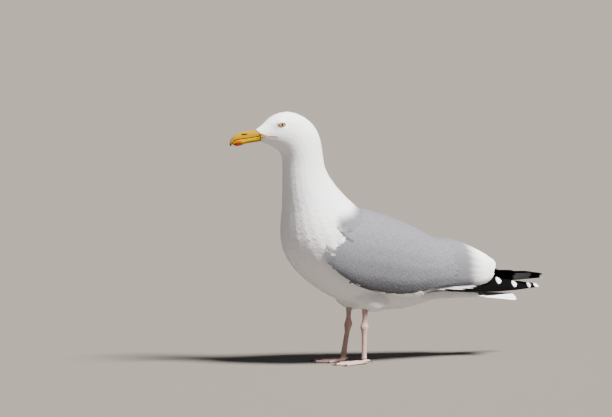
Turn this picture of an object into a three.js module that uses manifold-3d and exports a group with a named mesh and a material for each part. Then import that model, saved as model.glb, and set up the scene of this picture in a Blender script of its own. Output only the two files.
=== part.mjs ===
// A standing adult herring gull, life size, as a museum model.
// Millimetres, +Z up. The bill points along -X, the bird's left side faces -Y,
// and the floor is z = 0. Each part of the body is its own closed solid.
import * as THREE from "three";
import { mergeVertices } from "three/addons/utils/BufferGeometryUtils.js";
import Module from "manifold-3d";

const wasm = await Module();
wasm.setup();

// ---------------------------------------------------------------- dimensions
const GAP = 0.3; // clearance between pieces that touch
const LEFT = -1; // the sign of y on the bird's left
const RIGHT = 1;

// Head, neck and trunk are one loft. Each station is a plane across the body, from its
// dorsal point [x, z] to its ventral point [x, z]. "half" is half the width, and "level"
// is how far up from the ventral point the plane is widest, from 0 to 1.
const BODY_STATIONS = [
  { at: "bill base", dorsal: [-182, 392.5], ventral: [-171, 372.5], half: 8.5, level: 0.45 },
  { at: "lores", dorsal: [-170, 399], ventral: [-163, 369], half: 13, level: 0.45 },
  { at: "forehead", dorsal: [-155, 411.5], ventral: [-153, 365], half: 18.5, level: 0.48 },
  { at: "eyes", dorsal: [-139, 418.5], ventral: [-143, 359.5], half: 22.5, level: 0.5 },
  { at: "crown", dorsal: [-118, 420], ventral: [-135, 353], half: 25.5, level: 0.52 },
  { at: "hind crown", dorsal: [-95, 412], ventral: [-131, 346], half: 27, level: 0.5 },
  { at: "nape", dorsal: [-76, 397], ventral: [-129.5, 339], half: 28, level: 0.48 },
  { at: "throat", dorsal: [-65, 376], ventral: [-129, 331], half: 29, level: 0.48 },
  { at: "upper neck", dorsal: [-60.5, 352], ventral: [-128.5, 319], half: 30.5, level: 0.48 },
  { at: "middle neck", dorsal: [-57, 329], ventral: [-128, 302], half: 33.5, level: 0.47 },
  { at: "lower neck", dorsal: [-44, 305], ventral: [-127.5, 281], half: 39, level: 0.45 },
  { at: "neck base", dorsal: [-19, 277.5], ventral: [-127.5, 257], half: 48, level: 0.44 },
  { at: "upper back", dorsal: [7, 257], ventral: [-129, 232], half: 57, level: 0.43 },
  { at: "shoulders", dorsal: [38, 241], ventral: [-129, 206], half: 63, level: 0.42 },
  { at: "breast", dorsal: [66, 227], ventral: [-121, 180], half: 65, level: 0.42 },
  { at: "keel", dorsal: [88, 213], ventral: [-100, 152.5], half: 64, level: 0.42 },
  { at: "belly", dorsal: [108, 198], ventral: [-62, 122.5], half: 60, level: 0.42 },
  { at: "loins", dorsal: [124, 182], ventral: [-14, 99], half: 53, level: 0.45 },
  { at: "rump", dorsal: [137, 163], ventral: [44, 85.5], half: 42, level: 0.5 },
  { at: "vent", dorsal: [149, 141], ventral: [102, 88], half: 30, level: 0.55 },
  { at: "tail base", dorsal: [164, 121], ventral: [152, 101], half: 20, level: 0.55 },
];
const HEAD_END = 7; // the station where the head is parted from the neck
const NECK_END = 11; // the station where the neck is parted from the trunk
const PART_CUT = 0.012; // half the thin cut between two lengths, in stations
const BODY_AROUND = 24;

// The folded wing's outer surface, in upright sections. "ridge" and "lower" are the
// heights of its top and bottom edges on the whole cloak, "half" is the cloak's half
// width, "wide" the height where it is widest and "floor" the height where it would
// close under the bird. "top" is where the grey begins, from 0 at the ridge to 1 at
// the bottom edge.
const WING_STATIONS = [
  { x: -81, ridge: 262, half: 60, wide: 186, floor: 88, lower: 176, top: 0.62 },
  { x: -58, ridge: 262, half: 68, wide: 184, floor: 88, lower: 154, top: 0.36 },
  { x: -27, ridge: 261, half: 74, wide: 180, floor: 88, lower: 134, top: 0.14 },
  { x: 8, ridge: 258, half: 76, wide: 176, floor: 86, lower: 121, top: 0 },
  { x: 49, ridge: 246, half: 74, wide: 168, floor: 84, lower: 115, top: 0 },
  { x: 86, ridge: 233, half: 68, wide: 160, floor: 86, lower: 114, top: 0 },
  { x: 123, ridge: 215, half: 60, wide: 152, floor: 92, lower: 123, top: 0 },
  { x: 147, ridge: 202.5, half: 54, wide: 148, floor: 95, lower: 126, top: 0 },
  { x: 174, ridge: 201, half: 47, wide: 146, floor: 98, lower: 126, top: 0 },
  { x: 200, ridge: 190.5, half: 40, wide: 144, floor: 102, lower: 127, top: 0 },
  { x: 234, ridge: 174, half: 31, wide: 140, floor: 106, lower: 128, top: 0 },
  { x: 272, ridge: 149, half: 19, wide: 138, floor: 112, lower: 131, top: 0 },
];
const WING_THICKEST = 10;
const WING_EDGE = 1.4;
const TERTIALS_FROM = 150; // the x where the tertials start
const TERTIAL_SLANT = 24; // how much farther back they start at the wing's lower edge
const TERTIAL_TIPS = { left: 252, right: 266 }; // how far back they reach
const TERTIAL_LOBES = 3.5;
const LOBE_DEPTH = 9;

// The secondaries show as a skirt under the lower edge of the coverts: each row gives x
// and how far they hang below that edge.
const SECONDARY_DROP = [[30, -4], [50, -1], [72, 2], [90, 5.5], [99, 6], [104, 3.5], [106.5, -1.5]];
const SECONDARY_RISE = 15; // how far they run up inside the coverts
const SECONDARY_THICK = 1.8;
const SECONDARY_INSET = 2; // how far inside the coverts' surface they lie

// The folded primaries lie in a narrow band. Each row gives x, then y and z of its
// lower (leading) edge, then y and z of its upper edge. The right wing lies over the
// left one at the tips.
const PRIMARY_BANDS = {
  left: [
    [106, 51, 120, 42, 148],
    [150, 43, 115, 33, 148],
    [200, 34, 110.5, 19, 142],
    [250, 24, 108.5, 4, 133],
    [300, 8, 108.5, -6, 123],
    [346, -7, 110, -12, 115],
  ],
  right: [
    [106, 51, 120, 42, 150],
    [150, 43, 117, 32, 153],
    [200, 34, 114.5, 16, 153],
    [250, 20, 118.5, -1, 149],
    [300, 5, 127, -8, 141],
    [346, -8, 129, -12, 134.5],
  ],
};
// The visible primaries, outermost first: how far back each tip reaches, and where it
// lies across the band, from 0 at the lower edge to 1 at the upper.
const PRIMARIES = [
  { tip: 345, across: 0.3 },
  { tip: 344, across: 0.65 },
  { tip: 333, across: 0.5 },
  { tip: 303, across: 0.55 },
  { tip: 271, across: 0.75 },
];
const PRIMARY_HALF = 9.5;
const PRIMARY_THICK = 1.9;
const PRIMARY_STEP = 0.65; // each primary lies this far outside the next outer one
const PRIMARY_POINT = 24; // the length over which a primary narrows to its tip

// "coverts" is how much the tail coverts thicken the root, above and below, and
// coversTo is the x where they end.
const TAIL = {
  root: 150, tip: 292, rootZ: 115.5, tipZ: 103.5, rootHalf: 22, tipHalf: 34, thick: 3.2,
  droop: 0.0062, rounding: 9, feathers: 12, notch: 2.2, coverts: 7, coversTo: 225,
};

// Each bill station is [top x, top z, bottom x, bottom z, half width], base to tip.
const UPPER_BILL = [
  [-182.6, 392.2, -177.3, 382.2, 7.4],
  [-192, 391.8, -190, 380.5, 6.5],
  [-201, 391, -200.5, 379.4, 5.9],
  [-210.5, 389.3, -210, 378.7, 5.3],
  [-218, 386.2, -216, 377.9, 4.7],
  [-223.5, 382.4, -220, 376.8, 4],
  [-227.2, 377, -222.8, 374.8, 3],
  [-228.9, 371.5, -225, 371.6, 2.3],
  [-228.3, 367.3, -226, 367.8, 1.1],
];
const LOWER_BILL = [
  [-177, 381.6, -171.6, 373.2, 7],
  [-190, 379.9, -186, 371.6, 6.1],
  [-200.5, 378.8, -199, 370.4, 5.4],
  [-209, 378.2, -208.5, 367.6, 4.7],
  [-216, 377.1, -215.5, 366.9, 4],
  [-220.6, 375.2, -220.3, 368, 3.1],
  [-223.8, 372, -223.6, 369.9, 1.5],
];
const UPPER_LEVEL = 0.06; // each half of the bill is widest near the mouth
const LOWER_LEVEL = 0.94;
const BILL_AROUND = 12;

const EYE = { x: -142.5, y: 15.4, z: 400.8, radius: 7.6 };

const HIP_Y = 29;
// Where each leg stands, and where its feathered thigh sits, along the bird.
const LEGS = [
  { side: LEFT, footX: 4.5, thighX: 17 },
  { side: RIGHT, footX: -4.8, thighX: 12 },
];
const THIGH = { z: 110, depth: 34, width: 19, height: 25, lean: 6 };
const ANKLE = { x: 5, z: 62 };
const SHANK_TOP_X = 6.5;
// Leg outlines: [height, half depth, half width], from the top down.
const SHANK = [[94, 6.6, 5.6], [84, 4.7, 4.2], [74, 4.1, 3.6], [67, 5.2, 4.3], [62.2, 6.2, 5]];
const TARSUS = [[61.9, 6.2, 5], [57, 6, 4.8], [50, 4.6, 3.8], [34, 4.2, 3.4], [16, 4.4, 3.6], [9.3, 5, 4.4]];
const LEG_AROUND = 10;
// The foot. Angles run outwards from straight ahead, and lengths leave out the claws.
const TOES = [
  { name: "inner", length: 40, angle: -28 },
  { name: "middle", length: 51, angle: -1 },
  { name: "outer", length: 47, angle: 25 },
  { name: "hind", length: 10, angle: 168 },
];
const TOE = { baseZ: 3.1, tipZ: 1.8, baseRadius: 3.9, tipRadius: 2.3, knuckle: 0.07, joints: 3 };
const HIND = { baseZ: 6.7, tipZ: 5, radius: 2.2 };
const TOE_AROUND = 7;
const JOINT = { z: 4, radius: 5.4, height: 5 };
const WEB = { z: 0.6, thick: 1.2, reach: 0.93, sag: 0.84 };
const CLAW = { length: 8, radius: 1.7, lift: 0.15, tip: 0.4 };

const COLOURS = {
  white: 0xf0f0f2, grey: 0xa9aab2, black: 0x141314, bill: 0xe0b020,
  iris: 0xd9c089, leg: 0xd8b0a6, claw: 0x2a2423,
};

// ---------------------------------------------------------------- helpers
const lerp = THREE.MathUtils.lerp;

// A smooth curve through rows of numbers, read by a place from 0 to rows.length - 1.
function smooth(rows, place) {
  const last = rows.length - 1;
  const i = Math.min(Math.floor(place), last - 1);
  const t = place - i;
  const row = (k) => rows[THREE.MathUtils.clamp(k, 0, last)];
  const [p0, p1, p2, p3] = [row(i - 1), row(i), row(i + 1), row(i + 2)];
  return p1.map((value, k) => {
    const slope1 = (p2[k] - p0[k]) / 2;
    const slope2 = (p3[k] - value) / 2;
    const rise = p2[k] - value;
    const bend = 3 * rise - 2 * slope1 - slope2;
    const twist = slope1 + slope2 - 2 * rise;
    return value + t * (slope1 + t * (bend + t * twist));
  });
}

// Moves every vertex of a three.js geometry by a function and leaves only positions.
function bent(geometry, move) {
  const position = geometry.getAttribute("position");
  const point = new THREE.Vector3();
  for (let i = 0; i < position.count; i++) {
    point.fromBufferAttribute(position, i);
    const moved = move(point.clone());
    position.setXYZ(i, moved.x, moved.y, moved.z);
  }
  geometry.deleteAttribute("normal");
  geometry.deleteAttribute("uv");
  return mergeVertices(geometry, 1e-4);
}

function solidOf(geometry) {
  const clean = geometry.clone();
  clean.deleteAttribute("normal");
  clean.deleteAttribute("uv");
  const merged = mergeVertices(clean, 1e-4);
  return new wasm.Manifold(new wasm.Mesh({
    numProp: 3,
    vertProperties: merged.getAttribute("position").array,
    triVerts: new Uint32Array(merged.index.array),
  }));
}

function geometryOf(solid) {
  const mesh = solid.getMesh();
  return new THREE.BufferGeometry()
    .setAttribute("position", new THREE.BufferAttribute(mesh.vertProperties, 3))
    .setIndex(new THREE.BufferAttribute(mesh.triVerts, 1));
}

function material(colour, roughness = 0.7) {
  return new THREE.MeshStandardMaterial({ color: colour, roughness, metalness: 0 });
}

const gull = new THREE.Group();
function add(name, geometry, colour, roughness) {
  const mesh = new THREE.Mesh(geometry, material(colour, roughness));
  mesh.name = name;
  gull.add(mesh);
}

// ---------------------------------------------------------------- head, neck and trunk
const bodyRows = BODY_STATIONS.map((s) => [...s.dorsal, ...s.ventral, s.half, s.level]);

// The point at a place along the body. across and up are on the unit disc; up is 1 at
// the dorsal point. grow makes the section larger all round.
function bodyPoint(place, across, up, grow = 0) {
  const [dorsalX, dorsalZ, ventralX, ventralZ, half, level] = smooth(bodyRows, place);
  const dorsal = new THREE.Vector3(dorsalX, 0, dorsalZ);
  const ventral = new THREE.Vector3(ventralX, 0, ventralZ);
  const middle = ventral.clone().lerp(dorsal, level);
  const target = up > 0 ? dorsal : ventral;
  const reach = target.distanceTo(middle);
  const point = middle.clone().lerp(target, (Math.abs(up) * (reach + grow)) / reach);
  point.y = across * (half + grow);
  return point;
}

function bodyLength(from, to, rings, grow = 0) {
  const tube = new THREE.CylinderGeometry(1, 1, 1, BODY_AROUND, rings);
  return bent(tube, (p) => bodyPoint(lerp(from, to, 0.5 - p.y), p.x, p.z, grow));
}

const bodyEnd = BODY_STATIONS.length - 1;
const headLength = bodyLength(0, HEAD_END - PART_CUT, 11);
const neckLength = bodyLength(HEAD_END + PART_CUT, NECK_END - PART_CUT, 6);
const trunkLength = bodyLength(NECK_END + PART_CUT, bodyEnd, 14);
const trunkRoom = solidOf(bodyLength(NECK_END + PART_CUT, bodyEnd, 14, GAP));

// ---------------------------------------------------------------- bill and eyes
// A length of bill, lofted from the rows at the top of the file. level is where the
// section is widest, from 0 at its bottom to 1 at its top.
function billLength(rows, level) {
  const tube = new THREE.CylinderGeometry(1, 1, 1, BILL_AROUND, rows.length + 2);
  return bent(tube, (p) => {
    const [topX, topZ, bottomX, bottomZ, half] = smooth(rows, (0.5 - p.y) * (rows.length - 1));
    const share = p.z > 0 ? lerp(level, 1, p.z) : lerp(level, 0, -p.z);
    return new THREE.Vector3(lerp(bottomX, topX, share), -half * p.x, lerp(bottomZ, topZ, share));
  });
}

function ballAt(radius, x, y, z) {
  const ball = new THREE.SphereGeometry(radius, 12, 8);
  ball.translate(x, y, z);
  return ball;
}

const eyePockets = [LEFT, RIGHT].map((side) => (
  solidOf(ballAt(EYE.radius + GAP, EYE.x, side * EYE.y, EYE.z))
));
const headSolid = eyePockets.reduce((head, pocket) => head.subtract(pocket), solidOf(headLength));

// ---------------------------------------------------------------- folded wings
const wingKeys = ["x", "ridge", "half", "wide", "floor", "lower", "top"];
const wingRows = WING_STATIONS.map((s) => wingKeys.map((key) => s[key]));

// The share of the wing's stations at which the cloak reaches x.
function shareAt(x) {
  const last = wingRows.length - 1;
  const next = wingRows.findIndex((row) => row[0] >= x);
  const at = THREE.MathUtils.clamp(next, 1, last);
  const [before, after] = [wingRows[at - 1][0], wingRows[at][0]];
  return (at - 1 + (x - before) / (after - before)) / last;
}

// The cloak's outer surface: s runs along the bird, and t from the grey's top edge (0)
// to the wing's bottom edge (1). "hang" moves a point down below that edge.
function wingPoint(side, s, t, hang = 0) {
  const [x, ridge, half, wide, floor, lower, top] = smooth(wingRows, s * (wingRows.length - 1));
  const dip = THREE.MathUtils.clamp((wide - lower + hang) / (wide - floor), -1, 1);
  const low = Math.PI / 2 + Math.asin(dip);
  const angle = lerp(low * top, low, t);
  const reach = angle < Math.PI / 2 ? ridge - wide : wide - floor;
  return new THREE.Vector3(x, side * half * Math.sin(angle), wide + reach * Math.cos(angle));
}

function wingNormal(side, s, t) {
  const step = 1e-3;
  const alongS = wingPoint(side, Math.min(s + step, 1), t).sub(wingPoint(side, Math.max(s - step, 0), t));
  const alongT = wingPoint(side, s, Math.min(t + step, 1)).sub(wingPoint(side, s, Math.max(t - step, 0)));
  return alongS.cross(alongT).multiplyScalar(side).normalize();
}

function wingThickness(s, t) {
  const rim = THREE.MathUtils.clamp(Math.min(5 * s, 4 * (1 - s), 6 * t + 0.5, 5 * (1 - t)), 0, 1);
  return lerp(WING_EDGE, WING_THICKEST * (1 - 0.45 * s), Math.sqrt(rim));
}

// A curved plate under the cloak's surface. spanAt(t) gives the x where it starts and
// ends, so that its ends can slant or be lobed. grow makes it larger on every face.
function wingPlate(side, spanAt, alongCount, acrossCount, grow = 0) {
  const box = new THREE.BoxGeometry(1, 1, 1, alongCount, acrossCount, 1);
  return solidOf(bent(box, (p) => {
    const t = side === LEFT ? 0.5 - p.y : 0.5 + p.y;
    const [from, to] = spanAt(t);
    const s = lerp(shareAt(from - grow), shareAt(to + grow), p.x + 0.5);
    const depth = p.z > 0 ? -grow : wingThickness(s, t) + grow;
    const point = wingPoint(side, s, t).addScaledVector(wingNormal(side, s, t), -depth);
    point.y = side * Math.max(side * point.y, GAP / 2 - grow);
    return point;
  }));
}

const tertialsStart = (t) => TERTIALS_FROM + TERTIAL_SLANT * t;

function covertsOf(side, grow) {
  const span = (t) => [WING_STATIONS[0].x, tertialsStart(t) - 2 * GAP];
  return wingPlate(side, span, 11, 7, grow);
}

function tertialsOf(side, tip, grow) {
  const lobedEnd = (t) => {
    const lobe = Math.abs(Math.sin(Math.PI * TERTIAL_LOBES * t));
    return tip - LOBE_DEPTH * (1 - Math.sqrt(lobe));
  };
  return wingPlate(side, (t) => [tertialsStart(t), lobedEnd(t)], 4, 14, grow);
}

// The skirt of secondaries, just inside the coverts' lower edge.
function secondariesOf(side, grow = 0) {
  const box = new THREE.BoxGeometry(1, 1, 1, 11, 2, 1);
  return solidOf(bent(box, (p) => {
    const [x, drop] = smooth(SECONDARY_DROP, (p.x + 0.5) * (SECONDARY_DROP.length - 1));
    const s = shareAt(x);
    const down = side === LEFT ? 0.5 - p.y : 0.5 + p.y;
    const hang = lerp(-SECONDARY_RISE - grow, drop + grow, down);
    const inset = SECONDARY_INSET + (0.5 - p.z) * SECONDARY_THICK - 2 * p.z * grow;
    return wingPoint(side, s, 1, hang).addScaledVector(wingNormal(side, s, 1), -inset);
  }));
}

// ---------------------------------------------------------------- flight feathers
// A point of the primaries' band. "lift" is the distance outwards from the band.
function bandPoint(side, rows, x, across, lift) {
  const last = rows.length - 1;
  const next = THREE.MathUtils.clamp(rows.findIndex((row) => row[0] >= x), 1, last);
  const place = next - 1 + (x - rows[next - 1][0]) / (rows[next][0] - rows[next - 1][0]);
  const [, lowY, lowZ, highY, highZ] = smooth(rows, place);
  const outward = new THREE.Vector2(highZ - lowZ, lowY - highY).normalize();
  const y = lerp(lowY, highY, across) + outward.x * lift;
  return new THREE.Vector3(x, side * y, lerp(lowZ, highZ, across) + outward.y * lift);
}

function primaryOf(side, rows, feather, layer) {
  const box = new THREE.BoxGeometry(1, 1, 1, 6, 1, 1);
  return solidOf(bent(box, (p) => {
    const near = 1 - (0.5 - p.x) ** 1.5;
    const x = lerp(rows[0][0], feather.tip, near);
    const fromTip = feather.tip - x;
    const half = PRIMARY_HALF * Math.min(1, Math.sqrt((fromTip + 0.5) / PRIMARY_POINT));
    const height = bandPoint(side, rows, x, 0, 0).distanceTo(bandPoint(side, rows, x, 1, 0));
    const rest = lerp(0.28, 0.72, layer / (PRIMARIES.length - 1));
    const centre = lerp(feather.across, rest, Math.min(1, fromTip / 90));
    const vane = side === LEFT ? p.y : -p.y;
    const across = THREE.MathUtils.clamp(centre + (2 * vane * half) / height, 0, 1);
    const lift = layer * PRIMARY_STEP + (p.z + 0.5) * PRIMARY_THICK;
    return bandPoint(side, rows, x, across, lift);
  }));
}

function primariesOf(side, rows) {
  return PRIMARIES
    .map((feather, layer) => primaryOf(side, rows, feather, layer))
    .reduce((bundle, feather) => bundle.add(feather));
}

function tailFan() {
  const box = new THREE.BoxGeometry(1, 1, 1, 3, 2 * TAIL.feathers, 1);
  return solidOf(bent(box, (p) => {
    const along = p.x + 0.5;
    const across = 2 * p.y;
    const comb = Math.abs(Math.sin((Math.PI * TAIL.feathers * (across + 1)) / 2));
    const end = TAIL.tip - TAIL.rounding * across ** 2 - TAIL.notch * (1 - comb);
    const x = lerp(TAIL.root, end, along);
    const share = (x - TAIL.root) / (TAIL.tip - TAIL.root);
    const y = across * lerp(TAIL.rootHalf, TAIL.tipHalf, share);
    const top = lerp(TAIL.rootZ, TAIL.tipZ, share) - TAIL.droop * y ** 2;
    const covered = Math.max(0, 1 - (x - TAIL.root) / (TAIL.coversTo - TAIL.root));
    const bulge = TAIL.coverts * covered * (1 - across ** 2);
    const z = p.z > 0 ? top + bulge : top - TAIL.thick - bulge;
    return new THREE.Vector3(x, y, z);
  }));
}

// ---------------------------------------------------------------- legs and feet
// A length of leg lofted from [height, half depth, half width] rows. xAt(z) is the
// leg's middle at a height.
function legLength(rows, side, xAt, rings, grow = 0) {
  const tube = new THREE.CylinderGeometry(1, 1, 1, LEG_AROUND, rings);
  return bent(tube, (p) => {
    const [z, depth, width] = smooth(rows, (0.5 - p.y) * (rows.length - 1));
    return new THREE.Vector3(xAt(z) + p.z * (depth + grow), side * HIP_Y + p.x * (width + grow), z);
  });
}

function thighOf(leg) {
  const ball = new THREE.SphereGeometry(1, 14, 8);
  return solidOf(bent(ball, (p) => new THREE.Vector3(
    leg.thighX + p.x * THIGH.depth - p.z * THIGH.lean,
    leg.side * HIP_Y + p.y * THIGH.width,
    THIGH.z + p.z * THIGH.height,
  )));
}

// The unit vector along a toe, in the floor's plane.
function toeWay(leg, toe) {
  const angle = THREE.MathUtils.degToRad(toe.angle);
  return new THREE.Vector3(-Math.cos(angle), leg.side * Math.sin(angle), 0);
}

// Lays a tube along a toe. shapeAt(share) gives the distance from the foot's joint, the
// height of the tube's middle and its radius. The underside is pressed flat at floor.
function alongToe(leg, toe, rings, floor, shapeAt) {
  const way = toeWay(leg, toe);
  const tube = new THREE.CylinderGeometry(1, 1, 1, TOE_AROUND, rings);
  return bent(tube, (p) => {
    const { reach, z, radius } = shapeAt(0.5 - p.y);
    const x = leg.footX + way.x * reach - way.y * p.x * radius;
    const y = leg.side * HIP_Y + way.y * reach + way.x * p.x * radius;
    return new THREE.Vector3(x, y, Math.max(z + p.z * radius, floor));
  });
}

function toeOf(leg, toe) {
  const hind = toe.name === "hind";
  return alongToe(leg, toe, hind ? 2 : 2 * TOE.joints, 0, (share) => {
    const swell = 1 + TOE.knuckle * Math.cos(2 * Math.PI * TOE.joints * share);
    const radius = hind ? HIND.radius : lerp(TOE.baseRadius, TOE.tipRadius, share) * swell;
    const z = hind ? lerp(HIND.baseZ, HIND.tipZ, share) : lerp(TOE.baseZ, TOE.tipZ, share);
    return { reach: share * toe.length, z, radius };
  });
}

function clawOf(leg, toe) {
  const hind = toe.name === "hind";
  const size = hind ? 0.6 : 1;
  const from = toe.length + GAP;
  const baseZ = hind ? HIND.tipZ : TOE.tipZ;
  const tipZ = hind ? HIND.tipZ - 2 * CLAW.radius : CLAW.tip + CLAW.lift;
  return alongToe(leg, toe, 3, CLAW.lift, (share) => ({
    reach: from + share * CLAW.length * size,
    z: lerp(baseZ, tipZ, share ** 2),
    radius: lerp(CLAW.radius * size, CLAW.tip, share),
  }));
}

// The web between two toes, with a hollow front edge.
function webOf(leg, first, second) {
  const tips = [first, second].map((toe) => toeWay(leg, toe).multiplyScalar(toe.length * WEB.reach));
  const middle = tips[0].clone().add(tips[1]).multiplyScalar(0.5 * WEB.sag);
  const outline = new THREE.Shape();
  outline.moveTo(0, 0);
  outline.lineTo(tips[0].x, tips[0].y);
  outline.quadraticCurveTo(middle.x, middle.y, tips[1].x, tips[1].y);
  outline.closePath();
  const web = new THREE.ExtrudeGeometry(outline, { depth: WEB.thick, bevelEnabled: false, curveSegments: 4 });
  web.translate(leg.footX, leg.side * HIP_Y, WEB.z);
  return web;
}

function jointOf(leg) {
  const ball = new THREE.SphereGeometry(1, 10, 6);
  return bent(ball, (p) => new THREE.Vector3(
    leg.footX + p.x * JOINT.radius,
    leg.side * HIP_Y - p.z * JOINT.radius,
    Math.max(JOINT.z + p.y * JOINT.height, 0),
  ));
}

function footOf(leg) {
  const [inner, middle, outer] = TOES;
  const pieces = [
    ...TOES.map((toe) => toeOf(leg, toe)),
    webOf(leg, inner, middle),
    webOf(leg, middle, outer),
  ];
  return pieces.reduce((foot, piece) => foot.add(solidOf(piece)), solidOf(jointOf(leg)));
}

// ---------------------------------------------------------------- the whole bird
const cutBy = (solid, rooms) => rooms.reduce((rest, room) => rest.subtract(room), solid);
const largest = (solid) => solid.decompose().sort((a, b) => b.volume() - a.volume())[0];

add("head", geometryOf(headSolid), COLOURS.white);
add("neck", neckLength, COLOURS.white);
add("trunk", trunkLength, COLOURS.white);
add("tail", geometryOf(largest(cutBy(tailFan(), [trunkRoom]))), COLOURS.white);
add("bill_upper", billLength(UPPER_BILL, UPPER_LEVEL), COLOURS.bill, 0.45);
add("bill_lower", billLength(LOWER_BILL, LOWER_LEVEL), COLOURS.bill, 0.45);

for (const side of [LEFT, RIGHT]) {
  const name = side === LEFT ? "left" : "right";
  const tip = TERTIAL_TIPS[name];
  const coverts = cutBy(covertsOf(side), [trunkRoom]);
  const covertsRoom = covertsOf(side, GAP);
  const tertials = cutBy(tertialsOf(side, tip), [trunkRoom]);
  const secondaries = cutBy(secondariesOf(side), [trunkRoom, covertsRoom]);
  const rooms = [trunkRoom, covertsRoom, tertialsOf(side, tip, GAP), secondariesOf(side, GAP)];
  const primaries = cutBy(primariesOf(side, PRIMARY_BANDS[name]), rooms);
  add(`eye_${name}`, ballAt(EYE.radius, EYE.x, side * EYE.y, EYE.z), COLOURS.iris, 0.2);
  add(`coverts_${name}`, geometryOf(coverts), COLOURS.grey);
  add(`tertials_${name}`, geometryOf(tertials), COLOURS.grey);
  add(`secondaries_${name}`, geometryOf(largest(secondaries)), COLOURS.grey);
  add(`primaries_${name}`, geometryOf(largest(primaries)), COLOURS.black);
}

for (const leg of LEGS) {
  const name = leg.side === LEFT ? "left" : "right";
  const shankX = (z) => lerp(ANKLE.x, SHANK_TOP_X, (z - ANKLE.z) / (SHANK[0][0] - ANKLE.z));
  const tarsusX = (z) => lerp(leg.footX, ANKLE.x, z / ANKLE.z);
  const shank = legLength(SHANK, leg.side, shankX, 6);
  const shankRoom = solidOf(legLength(SHANK, leg.side, shankX, 6, GAP));
  const thigh = cutBy(thighOf(leg), [trunkRoom, shankRoom]);
  const tarsus = solidOf(legLength(TARSUS, leg.side, tarsusX, 7));
  const foot = footOf(leg);
  add(`thigh_${name}`, geometryOf(largest(thigh)), COLOURS.white);
  add(`shank_${name}`, shank, COLOURS.leg, 0.5);
  add(`tarsus_${name}`, geometryOf(tarsus), COLOURS.leg, 0.5);
  add(`foot_${name}`, geometryOf(foot), COLOURS.leg, 0.5);
  for (const toe of TOES) {
    add(`claw_${name}_${toe.name}`, clawOf(leg, toe), COLOURS.claw, 0.4);
  }
}

// The origin is the bottom centre of the whole bird's box.
const box = new THREE.Box3().setFromObject(gull);
const centre = box.getCenter(new THREE.Vector3());
for (const mesh of gull.children) {
  mesh.geometry.translate(-centre.x, -centre.y, -box.min.z);
}

export default gull;
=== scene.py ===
"""A life-size herring gull standing still: its plumage, bill, eyes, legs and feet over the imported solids.

Lengths here are in the bird's own millimetres: the bill points along -X, the left side faces -Y and the
floor is z = 0. place() turns them into the frame's metres.
"""

import itertools
import math

import bmesh
import bpy
import numpy as np
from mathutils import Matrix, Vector
from mathutils.bvhtree import BVHTree


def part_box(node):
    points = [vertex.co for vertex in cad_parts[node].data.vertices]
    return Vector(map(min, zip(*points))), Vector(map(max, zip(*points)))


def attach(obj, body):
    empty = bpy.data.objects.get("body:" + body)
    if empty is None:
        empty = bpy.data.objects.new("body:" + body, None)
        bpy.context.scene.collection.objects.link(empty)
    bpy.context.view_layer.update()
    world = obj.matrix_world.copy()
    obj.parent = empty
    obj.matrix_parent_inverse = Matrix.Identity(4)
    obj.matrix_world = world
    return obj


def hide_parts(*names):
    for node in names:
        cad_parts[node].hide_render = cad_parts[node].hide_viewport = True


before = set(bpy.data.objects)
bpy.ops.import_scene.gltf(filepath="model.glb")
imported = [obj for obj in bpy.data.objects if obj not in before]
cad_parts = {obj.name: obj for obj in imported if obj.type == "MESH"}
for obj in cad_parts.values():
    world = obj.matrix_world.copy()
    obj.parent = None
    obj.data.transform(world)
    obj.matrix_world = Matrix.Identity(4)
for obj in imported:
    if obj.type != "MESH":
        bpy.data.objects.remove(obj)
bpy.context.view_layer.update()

# ---------------------------------------------------------------- sizes
MM = 0.001
LEFT = -1
RIGHT = 1
SIDES = {"left": LEFT, "right": RIGHT}
EYE = {"x": -142.5, "y": 15.4, "z": 400.8, "radius": 7.6}
BALL_Y = 14.3  # the ball sits a little deeper than its solid, under the lids
OPENING = (6.1, 3.45)  # half the eye's visible length and height
EYE_TILT = math.radians(6)
RING = 0.65  # the width of the bare ring round it
SOCKET = 10.5  # how far round the eye the lids shape the face
FLESH = ["head", "neck", "trunk", "thigh_left", "thigh_right"]
CLOAK = ["coverts_left", "coverts_right", "tertials_left", "tertials_right"]
VOXEL = {"skin": 2.0, "bill": 0.38, "leg": 0.62, "claw": 0.25}  # how finely each is remeshed
# The skin under the wings and the tail ends at these x, ahead of the long feathers' tips.
TAIL_CORE_END = 234
TERTIAL_CORE_END = 238

# The bird's middle line, bill to tail, as [x, z].
SPINE = [
    (-184, 384), (-160, 389), (-138, 390), (-112, 382), (-98, 358), (-93, 325), (-84, 285),
    (-60, 240), (-18, 203), (40, 172), (100, 145), (150, 122), (220, 109), (300, 101),
]

# Plumage by place along the middle line, from the bill: distance, spacing, length, width and depth.
PLUMAGE = np.array([
    (0, 1.5, 4.4, 2.4, 0.4),
    (25, 1.8, 5.8, 3.0, 0.5),
    (60, 2.2, 8.0, 3.9, 0.5),
    (95, 2.8, 11, 5.2, 0.5),
    (135, 3.6, 15, 7.0, 0.5),
    (180, 4.6, 19, 9.2, 0.6),
    (240, 5.6, 23, 12, 0.9),
    (420, 6.2, 26, 13, 1.4),
    (520, 5.6, 28, 12, 1.3),
], float)
# The wing's coverts by distance back along the bird: x, spacing, length, half width and lift.
COVERTS = np.array([
    (-85, 5.0, 17, 4.8, 0.45),
    (-40, 6.2, 22, 6.2, 0.5),
    (20, 8.0, 32, 8.4, 0.6),
    (90, 9.4, 42, 10.4, 0.6),
    (160, 10.0, 48, 11.0, 0.4),
], float)
COVERTS_END = 152  # the last coverts' roots
HEAD_RUN = 78  # the head's coat ends at this distance along the middle line, and the neck's at the next
NECK_RUN = 170
WING_DEPTH = 1.6  # how deep the skin lies under the coverts
UNDER_QUILLS = 3.5  # how much deeper it lies where the folded primaries cover it
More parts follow.
